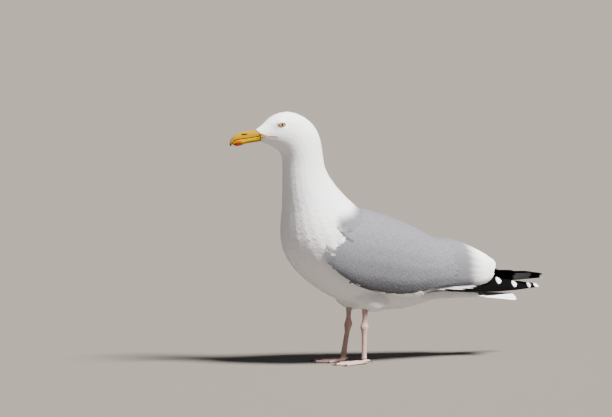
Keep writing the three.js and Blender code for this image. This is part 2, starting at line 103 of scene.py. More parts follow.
# The grey mantle and wing seen from the side, as [x, z]: along the neck's base, round the
# scapulars' notch and the wing's bend, and back under the wing.
MANTLE = [
    (-6, 264), (-30, 251), (-52, 247), (-59, 240), (-60, 231), (-55, 221), (-50, 214), (-60, 209),
    (-66, 201), (-73, 206), (-77, 194), (-80, 186), (-79, 175), (-58, 153), (-27, 133), (8, 120),
    (49, 114), (123, 120), (300, 120), (300, 320), (-6, 320),
]
MANTLE_LOW = 185  # the mantle's own feathers lie above this height, and the wings' below it
GREY_FRONT = -95  # nothing in front of this x is grey
# The fold's shadow is painted: the skin and feathers along this line are darkened.
NOTCH = [(-60, 232), (-57, 227), (-52, 220), (-45, 213), (-37, 208)]  # the fold under the scapulars
NOTCH_WIDTH = 1.8
# The folded primaries lie in a narrow band: x, then y and z of its lower and its upper edge.
BANDS = {
    LEFT: np.array([
        (106, 53, 120, 42, 148), (150, 45.5, 115, 33, 148), (200, 36, 110.5, 19, 142),
        (250, 24, 108.5, 4, 133), (300, 8, 108.5, -6, 123), (346, -7, 110, -12, 115),
    ], float),
    RIGHT: np.array([
        (106, 53, 120, 42, 150), (150, 45.5, 117, 32, 153), (200, 36, 114.5, 16, 153),
        (250, 20, 117.5, -1, 149), (300, 5, 123.5, -8, 141), (346, -8, 127, -12, 134.5),
    ], float),
}
TAIL = {"root": 150, "tip": 293, "root_z": 115.0, "tip_z": 103.5, "root_half": 16, "tip_half": 34.5,
        "droop": 0.0062, "rounding": 4, "feathers": 12, "half": 8.5}

rng = np.random.default_rng(11)


# ---------------------------------------------------------------- places and meshes
def eye_centre_in_frame():
    low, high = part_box("eye_left")
    return (np.array(low) + np.array(high)) / 2 / MM


SHIFT = eye_centre_in_frame() - np.array([EYE["x"], LEFT * EYE["y"], EYE["z"]])


def place(points):
    """Bird millimetres to the frame's metres."""
    return (np.asarray(points, float) + SHIFT) * MM


def node_mesh(name):
    """A CAD node as millimetre points and triangles."""
    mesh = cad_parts[name].data
    points = np.empty(len(mesh.vertices) * 3)
    mesh.vertices.foreach_get("co", points)
    mesh.calc_loop_triangles()
    triangles = np.empty(len(mesh.loop_triangles) * 3, np.int64)
    mesh.loop_triangles.foreach_get("vertices", triangles)
    return points.reshape(-1, 3) / MM - SHIFT, triangles.reshape(-1, 3)


def joined(meshes):
    points, triangles, count = [], [], 0
    for p, t in meshes:
        points.append(p)
        triangles.append(t + count)
        count += len(p)
    return np.vstack(points), np.vstack(triangles)


def tree_of(mesh):
    points, triangles = mesh
    return BVHTree.FromPolygons(points.tolist(), triangles.tolist())


def nodes_tree(names):
    return tree_of(joined([node_mesh(name) for name in names]))


def gaps(tree, points):
    """The distance from each point to a surface."""
    return np.array([tree.find_nearest(p)[3] for p in points.tolist()])


def new_mesh(name, points, faces):
    """A Blender mesh from metre points and an array of quads or triangles."""
    mesh = bpy.data.meshes.new(name)
    count, corners = faces.shape
    mesh.vertices.add(len(points))
    mesh.vertices.foreach_set("co", np.asarray(points, np.float32).ravel())
    mesh.loops.add(count * corners)
    mesh.loops.foreach_set("vertex_index", faces.astype(np.int32).ravel())
    mesh.polygons.add(count)
    mesh.polygons.foreach_set("loop_start", np.arange(0, count * corners, corners, dtype=np.int32))
    mesh.update(calc_edges=True)
    mesh.validate()
    return mesh


def link(name, data):
    """A new object in the scene."""
    obj = bpy.data.objects.new(name, data)
    bpy.context.scene.collection.objects.link(obj)
    return obj


def piece(name, points, faces, material):
    """A finished piece of the bird from millimetre points."""
    mesh = new_mesh(name, place(points), np.asarray(faces))
    mesh.shade_smooth()
    mesh.materials.append(material)
    obj = link(name, mesh)
    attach(obj, "root")
    return obj


def give(obj, name, values):
    """A number or a colour for each point of a piece, for its material to read."""
    values = np.asarray(values, np.float32)
    if values.ndim == 1:
        layer = obj.data.attributes.new(name, "FLOAT", "POINT")
        layer.data.foreach_set("value", values)
        return
    layer = obj.data.attributes.new(name, "FLOAT_COLOR", "POINT")
    colours = np.ones((len(values), 4), np.float32)
    colours[:, :3] = values
    layer.data.foreach_set("color", colours.ravel())


def give_map(obj, uv):
    """The OFBake map from one (u, v) for each point."""
    loops = np.empty(len(obj.data.loops), np.int32)
    obj.data.loops.foreach_get("vertex_index", loops)
    layer = obj.data.uv_layers.new(name="OFBake")
    layer.data.foreach_set("uv", np.asarray(uv, np.float32)[loops].ravel())


def unit(v):
    return v / np.maximum(np.linalg.norm(v, axis=-1, keepdims=True), 1e-12)


def line_gap(points, corners, ends):
    """The distance from each point to a chain of lines, in the plane of x and z."""
    way = ends - corners
    away = points[:, None] - corners
    share = np.clip((away * way).sum(2) / (way ** 2).sum(1), 0, 1)
    return np.linalg.norm(away - share[..., None] * way, axis=2).min(1)


def mantle_depth(points):
    """How far inside the grey of the mantle and wings each point lies; negative outside it."""
    flat = np.asarray(points, float)[:, [0, 2]]
    corners = np.array(MANTLE, float)
    ends = np.roll(corners, -1, axis=0)
    gap = line_gap(flat, corners, ends)
    x, z = flat[:, :1], flat[:, 1:]
    crosses = (corners[:, 1] > z) != (ends[:, 1] > z)
    rise = ends[:, 1] - corners[:, 1]
    at = corners[:, 0] + (z - corners[:, 1]) * (ends - corners)[:, 0] / np.where(rise == 0, 1, rise)
    inside = (crosses & (x < at)).sum(1) % 2 == 1
    return np.where(inside, gap, -gap)


def notch_painted_shadow(points):
    """1 along the fold under the scapulars' front feathers, where a painted shadow darkens the skin and the
    feathers.
    """
    line = np.array(NOTCH, float)
    gap = line_gap(np.asarray(points, float)[:, [0, 2]], line[:-1], line[1:])
    return np.exp(-(gap / NOTCH_WIDTH) ** 2)


def point_normals(points, triangles):
    a, b, c = (points[triangles[:, k]] for k in range(3))
    face = np.cross(b - a, c - a)
    total = np.zeros_like(points)
    for k in range(3):
        np.add.at(total, triangles[:, k], face)
    return unit(total)


def smoothed(points, faces, rounds):
    """Evens a mesh without shrinking it."""
    edges = np.vstack([faces[:, [k, (k + 1) % faces.shape[1]]] for k in range(faces.shape[1])])
    edges = np.unique(np.sort(edges, axis=1), axis=0)
    count = np.zeros(len(points))
    np.add.at(count, edges.ravel(), 1)
    for turn in range(2 * rounds):
        total = np.zeros_like(points)
        np.add.at(total, edges[:, 0], points[edges[:, 1]])
        np.add.at(total, edges[:, 1], points[edges[:, 0]])
        mean = total / np.maximum(count, 1)[:, None]
        points = points + (0.5 if turn % 2 == 0 else -0.53) * (mean - points)
    return points


def remeshed(mesh, voxel, rounds):
    """One closed, even surface round several solids, as millimetre points and quads."""
    data = new_mesh("solid", *mesh)
    obj = link("solid", data)
    modifier = obj.modifiers.new("remesh", "REMESH")
    modifier.mode = "VOXEL"
    modifier.voxel_size = voxel
    depsgraph = bpy.context.evaluated_depsgraph_get()
    done = obj.evaluated_get(depsgraph).to_mesh()
    points = np.empty(len(done.vertices) * 3)
    done.vertices.foreach_get("co", points)
    faces = np.array([tuple(p.vertices) for p in done.polygons])
    obj.evaluated_get(depsgraph).to_mesh_clear()
    bpy.data.objects.remove(obj)
    bpy.data.meshes.remove(data)
    return smoothed(points.reshape(-1, 3), faces, rounds), faces


def as_triangles(quads):
    return np.vstack([quads[:, [0, 1, 2]], quads[:, [0, 2, 3]]])


def clipped(mesh, limit):
    """The part of a solid in front of x = limit, closed again."""
    work = bmesh.new()
    data = new_mesh("clip", *mesh)
    work.from_mesh(data)
    geometry = work.verts[:] + work.edges[:] + work.faces[:]
    cut = bmesh.ops.bisect_plane(
        work, geom=geometry, plane_co=(limit, 0, 0), plane_no=(1, 0, 0), clear_outer=True)
    rim = [e for e in cut["geom_cut"] if isinstance(e, bmesh.types.BMEdge)]
    bmesh.ops.edgenet_fill(work, edges=rim)
    bmesh.ops.triangulate(work, faces=work.faces[:])
    work.to_mesh(data)
    work.free()
    points = np.array([v.co for v in data.vertices])
    triangles = np.array([tuple(p.vertices) for p in data.polygons])
    bpy.data.meshes.remove(data)
    return points, triangles


class Surface:
    """A smooth surface that points are drawn onto."""

    def __init__(self, points, triangles):
        self.points = points
        self.triangles = triangles
        self.normals = point_normals(points, triangles)
        self.tree = tree_of((points, triangles))

    def nearest(self, places, *more):
        """The nearest surface points, their smooth normals, and any per-point values there."""
        found = [self.tree.find_nearest(p) for p in places.tolist()]
        spot = np.array([tuple(f[0]) for f in found])
        face = self.triangles[np.array([f[2] for f in found])]
        share = barycentric(spot, *(self.points[face[:, k]] for k in range(3)))
        values = [self.blend(v, face, share) for v in (self.normals, *more)]
        return spot, unit(values[0]), *values[1:]

    @staticmethod
    def blend(values, face, share):
        if values.ndim == 1:
            return (values[face] * share).sum(1)
        return (values[face] * share[:, :, None]).sum(1)


def barycentric(p, a, b, c):
    v0, v1, v2 = b - a, c - a, p - a
    d00, d01, d11 = (v0 * v0).sum(1), (v0 * v1).sum(1), (v1 * v1).sum(1)
    d20, d21 = (v2 * v0).sum(1), (v2 * v1).sum(1)
    bottom = np.where(np.abs(d00 * d11 - d01 * d01) < 1e-12, 1, d00 * d11 - d01 * d01)
    v = (d11 * d20 - d01 * d21) / bottom
    w = (d00 * d21 - d01 * d20) / bottom
    share = np.clip(np.stack([1 - v - w, v, w], 1), 0, 1)
    return share / share.sum(1, keepdims=True)


def steps(value, low, high):
    """A smooth step from 0 at low to 1 at high."""
    t = np.clip((value - low) / (high - low), 0, 1)
    return (t * t * (3 - 2 * t))[..., None]


def blend(a, b, share):
    return np.asarray(a) * (1 - share) + np.asarray(b) * share


# ---------------------------------------------------------------- the middle line
SPINE_STEP = 4.0
SPINE_BLUR = 26.0  # how far along the line a point's place on it is averaged


def spine_samples():
    """Points every SPINE_STEP along the smoothed middle line: distance, place and direction."""
    corner = np.array([(x, 0, z) for x, z in SPINE], float)
    run = np.concatenate([[0], np.cumsum(np.linalg.norm(np.diff(corner, axis=0), axis=1))])
    places = np.arange(0, run[-1], SPINE_STEP)
    line = np.stack([np.interp(places, run, corner[:, k]) for k in range(3)], 1)
    for _ in range(12):
        line[1:-1] = (line[:-2] + 2 * line[1:-1] + line[2:]) / 4
    return places, line, unit(np.gradient(line, axis=0))


SPINE_RUN, SPINE_LINE, SPINE_WAY = spine_samples()


def along_spine(points):
    """Each point's distance along the middle line, its direction there, and its angle round it."""
    gap = ((points[:, None, :] - SPINE_LINE[None]) ** 2).sum(2)
    weight = np.exp(-(gap - gap.min(1, keepdims=True)) / SPINE_BLUR ** 2)
    weight /= weight.sum(1, keepdims=True)
    run = weight @ SPINE_RUN
    way = unit(weight @ SPINE_WAY)
    middle = weight @ SPINE_LINE
    up = unit(np.cross(way, [0.0, 1.0, 0.0]) * -1)
    offset = points - middle
    angle = np.arctan2(offset[:, 1], (offset * up).sum(1))
    return run, way, angle


def unwrap(points):
    """The skin's own unwrap: round the bird across, along the bird upwards."""
    run, _, angle = along_spine(points)
    return np.stack([0.5 + angle / (2 * math.pi), run / SPINE_RUN[-1]], 1) * 0.98 + 0.01


# ---------------------------------------------------------------- materials
class Nodes:
    """A small hand for building shader trees."""

    def __init__(self, name):
        self.material = bpy.data.materials.new(name)
        self.material.use_nodes = True
        self.tree = self.material.node_tree
        self.shader = self.tree.nodes["Principled BSDF"]

    def add(self, kind, inputs=None, **settings):
        node = self.tree.nodes.new(kind)
        for key, value in settings.items():
            setattr(node, key, value)
        for key, value in (inputs or {}).items():
            self.feed(node.inputs[key], value)
        return node

    def feed(self, socket, value):
        if isinstance(value, bpy.types.NodeSocket):
            self.tree.links.new(value, socket)
        elif isinstance(value, tuple) and socket.type == "RGBA":
            socket.default_value = (*value, 1)
        else:
            socket.default_value = value

    def set(self, **values):
        for key, value in values.items():
            self.feed(self.shader.inputs[key.replace("_", " ")], value)

    def value(self, name):
        return self.add("ShaderNodeAttribute", attribute_name=name).outputs["Fac"]

    def colour(self, name):
        return self.add("ShaderNodeAttribute", attribute_name=name).outputs["Color"]

    def place(self):
        return self.add("ShaderNodeTexCoord").outputs["Object"]

    def stretched(self, scale):
        return self.add("ShaderNodeMapping", {"Vector": self.place(), "Scale": scale}).outputs[0]

    def math(self, how, a, b=0.0, c=0.0):
        node = self.add("ShaderNodeMath", operation=how)
        for socket, value in zip(node.inputs, (a, b, c)):
            self.feed(socket, value)
        return node.outputs[0]

    def noise(self, scale, detail, vector=None):
        inputs = {"Scale": scale, "Detail": detail, "Vector": vector or self.place()}
        return self.add("ShaderNodeTexNoise", inputs).outputs["Fac"]

    def mix(self, share, a, b, how="MIX"):
        node = self.add("ShaderNodeMix", data_type="RGBA", blend_type=how)
        self.feed(node.inputs[0], share)
        self.feed(node.inputs[6], a)
        self.feed(node.inputs[7], b)
        return node.outputs[2]

    def between(self, value, low, high, to_low=0.0, to_high=1.0):
        inputs = {0: value, 1: low, 2: high, 3: to_low, 4: to_high}
        return self.add("ShaderNodeMapRange", inputs, interpolation_type="SMOOTHSTEP").outputs[0]

    def turning(self, a, b, value, low, high, most=1.0):
        """Colour a, which turns to b as a value rises from low to high."""
        return self.mix(self.between(value, low, high, 0.0, most), a, b)

    def bump(self, height, strength, distance):
        inputs = {"Strength": strength, "Distance": distance, "Height": height}
        self.feed(self.shader.inputs["Normal"], self.add("ShaderNodeBump", inputs).outputs[0])


def plumage_material(name, rough, barb, edge, shine=0.16, soft=0.0, vary=0.08):
    """Feather vanes: barbs slant out from the shaft, the shaft is a faint line, the rim is paler."""
    n = Nodes(name)
    across, along, tone = n.value("across"), n.value("along"), n.value("tone")
    side = n.math("ABSOLUTE", across)
    slant = n.math("SUBTRACT", n.math("MULTIPLY", along, 9.0), n.math("MULTIPLY", side, 3.0))
    ripple = n.math("SINE", n.math("MULTIPLY", n.math("ADD", slant, tone), 14.0))
    fine = n.noise(900, 3)
    barbs = n.math("MULTIPLY_ADD", n.math("MULTIPLY", ripple, fine), barb, 1.0)
    shade = n.math("MULTIPLY_ADD", n.math("SUBTRACT", tone, 0.5), vary, 1.0)
    both = n.math("MULTIPLY", barbs, shade)
    pale = n.add("ShaderNodeCombineColor", {"Red": both, "Green": both, "Blue": both}).outputs[0]
    body = n.mix(1.0, n.colour("marking"), pale, "MULTIPLY")
    rim = n.math("MULTIPLY", n.between(along, 0.82, 1.0), edge)
    tipped = n.mix(rim, body, (0.9, 0.9, 0.92))
    shaft = n.math("MULTIPLY", n.between(side, 0.0, 0.07, 1.0, 0.0), 0.16)
    n.set(Base_Color=n.mix(shaft, tipped, (0.5, 0.5, 0.5), "MULTIPLY"))
    n.set(Roughness=rough, Specular_IOR_Level=shine, Sheen_Weight=soft, Sheen_Roughness=0.5)
    n.bump(n.math("MULTIPLY", ripple, fine), 0.2, 0.0002)
    return n.material


WHITE = (0.83, 0.83, 0.845)
GREY = (0.128, 0.130, 0.147)
GREY_FRINGE = (0.165, 0.168, 0.185)
BLACK = (0.0015, 0.0014, 0.0016)
BARE_YELLOW = (0.50, 0.26, 0.002)


def skin_material():
    n = Nodes("skin_under_down")
    down = n.noise(260, 5)
    n.set(Base_Color=n.turning(n.colour("marking"), (0.6, 0.58, 0.6), down, 0.3, 0.7, 0.2))
    n.set(Roughness=0.95, Specular_IOR_Level=0.15)
    n.bump(down, 0.5, 0.0008)
    return n.material


WHITE_VANES = plumage_material("white_vanes", 0.85, 0.03, 0.02, soft=0.1, vary=0.02)
GREY_VANES = plumage_material("grey_vanes", 0.75, 0.09, 0.03)
LONG_VANES = plumage_material("long_vanes", 0.7, 0.12, 0.0, shine=0.02)
GREY_LONG = plumage_material("grey_long", 0.75, 0.08, 0.0, vary=0.16)
WHITE_LONG = plumage_material("white_long", 0.75, 0.05, 0.0)


# ---------------------------------------------------------------- skin
def skin_surface():
    """One surface round the flesh and the folded wings, sunk below the plumage."""
    solids = [node_mesh(name) for name in FLESH + ["eye_left", "eye_right", "coverts_left", "coverts_right"]]
    solids += [clipped(node_mesh(name), TERTIAL_CORE_END) for name in ("tertials_left", "tertials_right")]
    solids.append(clipped(node_mesh("tail"), TAIL_CORE_END))
    points, quads = remeshed(joined(solids), VOXEL["skin"], 6)
    triangles = as_triangles(quads)
    normals = point_normals(points, triangles)
    wing = gaps(nodes_tree(CLOAK), points) < gaps(nodes_tree(FLESH + ["tail"]), points)
    body = read_table(PLUMAGE, along_spine(points)[0])[3]
    depth = np.where(wing, WING_DEPTH, body) + UNDER_QUILLS * under_quills(points) * (normals[:, 2] > 0.25)
    sunk = np.minimum(depth, 0.3 * thickness(points, triangles, normals))
    for _ in range(3):
        sunk = neighbour_mean(sunk, quads)
    points = smoothed(points - normals * sunk[:, None], quads, 2)
    return shaped_face(points), quads, wing.astype(float)


def thickness(points, triangles, normals):
    """How thick the body is under each point, up to a limit."""
    limit = 40
    shape = tree_of((points, triangles))
    starts = points - 0.05 * normals
    hits = [shape.ray_cast(Vector(p), Vector(-n), limit)[3] for p, n in zip(starts, normals)]
    return np.array([limit if hit is None else hit for hit in hits])


def eye_reach(points):
    """How far each point lies outside the eye's opening, as seen from the side."""
    dx, dz = points[:, 0] - EYE["x"], points[:, 2] - EYE["z"]
    u = dx * math.cos(EYE_TILT) + dz * math.sin(EYE_TILT)
    v = dz * math.cos(EYE_TILT) - dx * math.sin(EYE_TILT)
    away = np.hypot(u, v)
    return away - away / np.maximum(np.hypot(u / OPENING[0], v / OPENING[1]), 1e-6)


def ball_depth(x, z, radius):
    """How far out a ball at the eye's place reaches."""
    away = (x - EYE["x"]) ** 2 + (z - EYE["z"]) ** 2
    return BALL_Y + np.sqrt(np.maximum(radius ** 2 - away, 0))


def face_terms(x, z):
    """The terms of the curved sheet that is fitted to a cheek."""
    dx, dz = x - EYE["x"], z - EYE["z"]
    return np.stack([np.ones_like(dx), dx, dz, dx * dx, dz * dz, dx * dz], -1)


FACE = {}  # each side's cheek, fitted round the eye


def lid_level(side, x, z):
    """How far out the lids lie: the cheek's level, or the eyeball's where that is farther."""
    cheek = face_terms(x, z) @ FACE[side]
    ball = ball_depth(x, z, EYE["radius"] + 0.5)
    return (cheek + ball + np.sqrt((cheek - ball) ** 2 + 1.2)) / 2


def shaped_face(points):
    """Draws the skin over the eyeballs as lids, and sinks it behind each eye's opening."""
    x, y, z = points.T.copy()
    away = np.hypot(x - EYE["x"], z - EYE["z"])
    for side in SIDES.values():
        face = y * side > 8
        rim = face & (away > SOCKET) & (away < SOCKET + 4)
        FACE[side] = np.linalg.lstsq(face_terms(x[rim], z[rim]), y[rim] * side, rcond=None)[0]
        here = face & (away < SOCKET)
        level = lid_level(side, x[here], z[here])
        inner = np.clip((1.3 - eye_reach(points[here])) / 1.3, 0, 1)
        share = steps(away[here], SOCKET - 2.5, SOCKET)[:, 0]
        level = (level - 3.2 * inner) * (1 - share) + y[here] * side * share
        y[here] = side * level
    return np.stack([x, y, z], 1)


def neighbour_mean(values, quads):
    """Each point's value, evened with those of the points beside it."""
    total = np.zeros_like(values)
    count = np.zeros_like(values)
    for k in range(4):
        for step in (1, 3):
            np.add.at(total, quads[:, k], values[quads[:, (k + step) % 4]])
            np.add.at(count, quads[:, k], 1)
    return (values + total / np.maximum(count, 1)) / 2


def read_table(table, key):
    """A table's columns after the first, read at the first column's value."""
    return [np.interp(key, table[:, 0], table[:, k]) for k in range(1, table.shape[1])]


# ---------------------------------------------------------------- plumage
LEG_DOWN = np.array([0.35, 0.0, -1.0])


def near_thigh(points):
    """1 on the feathered thighs and 0 away from them."""
    x, y, z = points.T
    gap = ((x - 14) / 36) ** 2 + ((np.abs(y) - 29) / 20) ** 2 + ((z - 96) / 16) ** 2
    return np.clip(1.6 - gap, 0, 1)


def lie(points, normals):
    """The way each feather lies on the body."""
    _, way, _ = along_spine(points)
    leg = near_thigh(points)[:, None]
    way = way * (1 - leg) + unit(LEG_DOWN) * leg
    return unit(way - normals * (way * normals).sum(1, keepdims=True))


def on_upper_back(points):
    """1 where the neck runs into the mantle, and 0 on the breast and belly."""
    return np.clip((points[:, 2] - 195) / 25, 0, 1) * np.clip((points[:, 0] + 95) / 30, 0, 1)


CROWD = 7  # how many places are tried for each feather that finds room
GRID_RATIO = 1.25  # between the cell sizes of neighbouring search grids
AROUND = list(itertools.product((-1, 0, 1), repeat=3))


def scattered(surface, spacing_of, keep_of):
    """Points on the skin, no two nearer than the spacing there."""
    corners = surface.points[surface.triangles]
    a, b, c = corners[:, 0], corners[:, 1], corners[:, 2]
    area = np.linalg.norm(np.cross(b - a, c - a), axis=1) / 2
    middle = (a + b + c) / 3
    spacing = spacing_of(middle)
    weight = area / spacing ** 2 * keep_of(middle)
    count = int(weight.sum() * CROWD)
    pick = rng.choice(len(corners), count, p=weight / weight.sum())
    r1, r2 = np.sqrt(rng.random(count)), rng.random(count)
    shares = np.stack([1 - r1, r1 * (1 - r2), r1 * r2], 1)
    spots = (shares[:, :, None] * corners[pick]).sum(1)
    near = spacing[pick]
    level = np.round(np.log(near) / math.log(GRID_RATIO)).astype(int)
    grids = {n: (GRID_RATIO ** (n + 0.5), {}) for n in sorted(set(level.tolist()))}
    chosen = []
    for i, (p, gap, own) in enumerate(zip(spots.tolist(), near.tolist(), level.tolist())):
        size, grid = grids[own]
        cell = [int(v // size) for v in p]
        around = (grid.get((cell[0] + x, cell[1] + y, cell[2] + z), ()) for x, y, z in AROUND)
        if any(math.dist(p, q) < gap for group in around for q in group):
            continue
        chosen.append(i)
        for size, grid in grids.values():
            grid.setdefault(tuple(int(v // size) for v in p), []).append(p)
    return spots[chosen]


# Where a vane's points lie along and across it, for most feathers and for the head's small ones.
VANE_ALONG = np.array([0, 0.22, 0.45, 0.66, 0.83, 0.94, 1.0])
VANE_ACROSS = np.array([-1, -0.5, 0, 0.5, 1.0])
SMALL_ALONG = np.array([0, 0.35, 0.68, 0.9, 1.0])
SMALL_ACROSS = np.array([-1, 0, 1.0])


def outline(u):
    """Half the width of a body feather along its length."""
    swell = 0.45 + 0.55 * np.sin(np.minimum(u / 0.55, 1) * math.pi / 2)
    close = np.sqrt(np.clip(1 - ((u - 0.55) / 0.46) ** 2, 0, 1))
    return np.where(u < 0.55, swell, np.maximum(close, 0.1))


def vane_grid(along, across, count):
    """The quads of many vanes, and how far along and across its vane each point lies."""
    nu, nv = len(along), len(across)
    index = np.arange(count * nu * nv).reshape(count, nu, nv)
    corners = [index[:, :-1, :-1], index[:, 1:, :-1], index[:, 1:, 1:], index[:, :-1, 1:]]
    u = np.broadcast_to(along[None, :, None], index.shape).ravel()
    v = np.broadcast_to(across[None, None, :], index.shape).ravel()
    return np.stack(corners, -1).reshape(-1, 4), u, v


def vanes(surface, roots, normals, ways, length, width, depth, along, across):
    """Overlapping body feathers that lie over a surface."""
    side = np.cross(normals, ways)
    reach = along[:, None] * np.where(along[:, None] > 0.5, 1 - 0.12 * across ** 2, 1)
    half = outline(along)[:, None] * across * 0.5
    flat = (roots[:, None, None]
            + ways[:, None, None] * (reach[None, :, :, None] * length[:, None, None, None])
            + side[:, None, None] * (half[None, :, :, None] * width[:, None, None, None]))
    flat = flat.reshape(-1, 3)
    spot, normal = surface.nearest(flat)
    normal = unit(normal + 0.35 * np.repeat(normals, reach.size, axis=0))
    drop = ((spot - flat) * normal).sum(1, keepdims=True)
    rise = 0.12 + 0.88 * along[:, None] ** 1.3 - 0.28 * across ** 2 * along[:, None]
    lift = (rise[None] * depth[:, None, None]).reshape(-1, 1)
    return flat + normal * (drop + lift), normal


def feather_piece(name, points, faces, normals, u, v, spots, tone, marking, grey, share):
    """A piece of many small vanes, with what their material reads and a small patch of the map for each."""
    each = len(points) // len(spots)
    material, slot = (GREY_VANES, "grey_feathers") if grey else (WHITE_VANES, "white_feathers")
    obj = piece(name, points, faces, material)
    give(obj, "along", u)
    give(obj, "across", v)
    give(obj, "tone", np.repeat(tone, each))
    # Feathers along the scapulars' fold are darkened here as a painted shadow.
    give(obj, "marking", marking * (1 - 0.75 * notch_painted_shadow(points))[:, None])
    patch = 0.003 * np.stack([v / 2, u - 0.5], 1)
    give_map(obj, np.clip(np.repeat(unwrap(spots), each, axis=0) + patch, 0, 1))
    soften(obj, normals, share)


def coat_piece(name, surface, spots, random):
    """One piece of the body's coat: a vane at each spot."""
    small, grey = name == "coat_head", name == "coat_mantle"
    _, normals = surface.nearest(spots)
    ways = lie(spots, normals)
    turn = random.normal(0, 0.08, len(spots))[:, None]
    ways = unit(ways + np.cross(normals, ways) * turn)
    _, length, width, depth = read_table(PLUMAGE, along_spine(spots)[0])
    thigh, mantle = near_thigh(spots), on_upper_back(spots)
    length = length * (1 - 0.45 * thigh) * (1 - 0.3 * mantle) * random.normal(1, 0.09, len(spots))
    width = width * (1 - 0.4 * thigh) * (1 - 0.4 * mantle) * random.normal(1, 0.07, len(spots))
    vent = steps(spots[:, 0], TAIL["root"] - 30, TAIL["root"])[:, 0]
    length, width = length * (1 - 0.35 * vent), width * (1 - 0.6 * vent)
    length = fitting(spots, ways, length, grey)
    depth = depth * random.uniform(0.8, 1.08, len(spots)) + 0.5 * near_wing(spots)
    along, across = (SMALL_ALONG, SMALL_ACROSS) if small else (VANE_ALONG, VANE_ACROSS)
    points, skin_normal = vanes(surface, spots, normals, ways, length, width, depth, along, across)
    faces, u, v = vane_grid(along, across, len(spots))
    each = len(along) * len(across)
    same = (skin_normal * np.repeat(normals, each, axis=0)).sum(1) > 0.15
    faces = faces[same[faces].all(1)]  # without what strays to the other side of a thin form
    tone = random.random(len(spots))
    ragged = np.where(spots[:, 2] > MANTLE_LOW, random.normal(0, 1.4, len(spots)), -99)
    marking = np.repeat(body_colour(spots, ragged), each, axis=0)
    marking = blend(marking, body_colour(points), steps(points[:, 2], 218, 234))
    feather_piece(name, points, faces, skin_normal, u, v, spots, tone, marking, grey, 0.9)


def near_wing(spots):
    """1 where the breast's side feathers reach over the wing's front."""
    x, _, z = spots.T
    return np.exp(-(mantle_depth(spots) / 14) ** 2) * ((z > 150) & (z < 235) & (x < -30))


def soften(obj, normals, share):
    """Turns a piece's shading normals towards the body's form."""
    mesh = obj.data
    own = np.empty(len(mesh.vertices) * 3)
    mesh.vertices.foreach_get("normal", own)
    own = own.reshape(-1, 3)
    own = own * np.where((own * normals).sum(1, keepdims=True) < 0, -1, 1)
    mixed = unit(own * (1 - share) + normals * share)
    mesh.normals_split_custom_set_from_vertices(mixed.tolist())


SOLIDS = nodes_tree(FLESH + CLOAK + ["tail"])
PROUD = 2.2  # how far a feather's tip may stand off the solids


def fitting(spots, ways, length, grey):
    """The longest each feather may be before it leaves the solids' outline or covers the wing."""
    fit = length.copy()
    going = np.ones(len(spots), bool)
    for _ in range(7):
        if not going.any():
            break
        tips = spots[going] + ways[going] * fit[going, None]
        long = gaps(SOLIDS, tips) > PROUD + 0.06 * fit[going]
        if not grey:
            long |= mantle_depth(tips - ways[going] * overhang(spots[going])[:, None]) > 0
        going[np.flatnonzero(going)[~long]] = False
        fit[going] *= 0.86
    return fit


def overhang(spots):
    """How far white feathers reach over the grey: little on the back, more at the breast's side."""
    return np.interp(spots[:, 2], [130, 160, 185, 205, 220, 235], [1.5, 7, 4, 0, -1, -7])


# The bare yellow skin that runs back from the bill's base along the mouth: x, top and bottom.
RICTUS = np.array([
    (-185, 390, 377), (-182.5, 390, 377), (-176, 387.4, 378.8), (-170, 385, 380.2), (-161, 382.6, 382),
])


def bare_wedge(points):
    """1 on the bare yellow skin behind the bill's base."""
    x, _, z = points.T
    top, low = read_table(RICTUS, x)
    return np.clip(np.minimum(top - z, z - low) / 0.8, 0, 1) * (x < RICTUS[-1, 0])


def clear_of_face(points):
    """False where feathers would cover an eye, the gape or the bill's base."""
    return (eye_reach(points) > RING + 0.55) & (bare_wedge(points) < 0.4)


def body_colour(spots, ragged=0.0):
    """White, with a painted shadow in the hollow of the lores before the eye and a faint grey line behind the
    eye, and grey on the mantle.
    """
    x, _, z = spots.T
    # The lores' grey smudge is a painted shadow in the hollow before the eye.
    lores = np.exp(-((x + 153.5 + 0.4 * (z - 398)) / 4.5) ** 2 - ((z - 397.5) / 5) ** 2)
    trail = np.exp(-(((x + 124) / 9) ** 2 + ((z - 400.5 + 0.1 * (x + 124)) / 1.6) ** 2))
    lores_shadow_and_line = np.clip(0.62 * lores + 0.3 * trail, 0, 0.7)[:, None]
    white = np.array(WHITE) * (1 - lores_shadow_and_line) + np.array([0.2, 0.2, 0.22]) * lores_shadow_and_line
    soft = np.interp(z, [218, 236], [2, 11])
    grey = steps((mantle_depth(spots) + ragged) / soft, -1.0, 1.0)
    return blend(white, GREY, grey * (x > GREY_FRONT)[:, None])


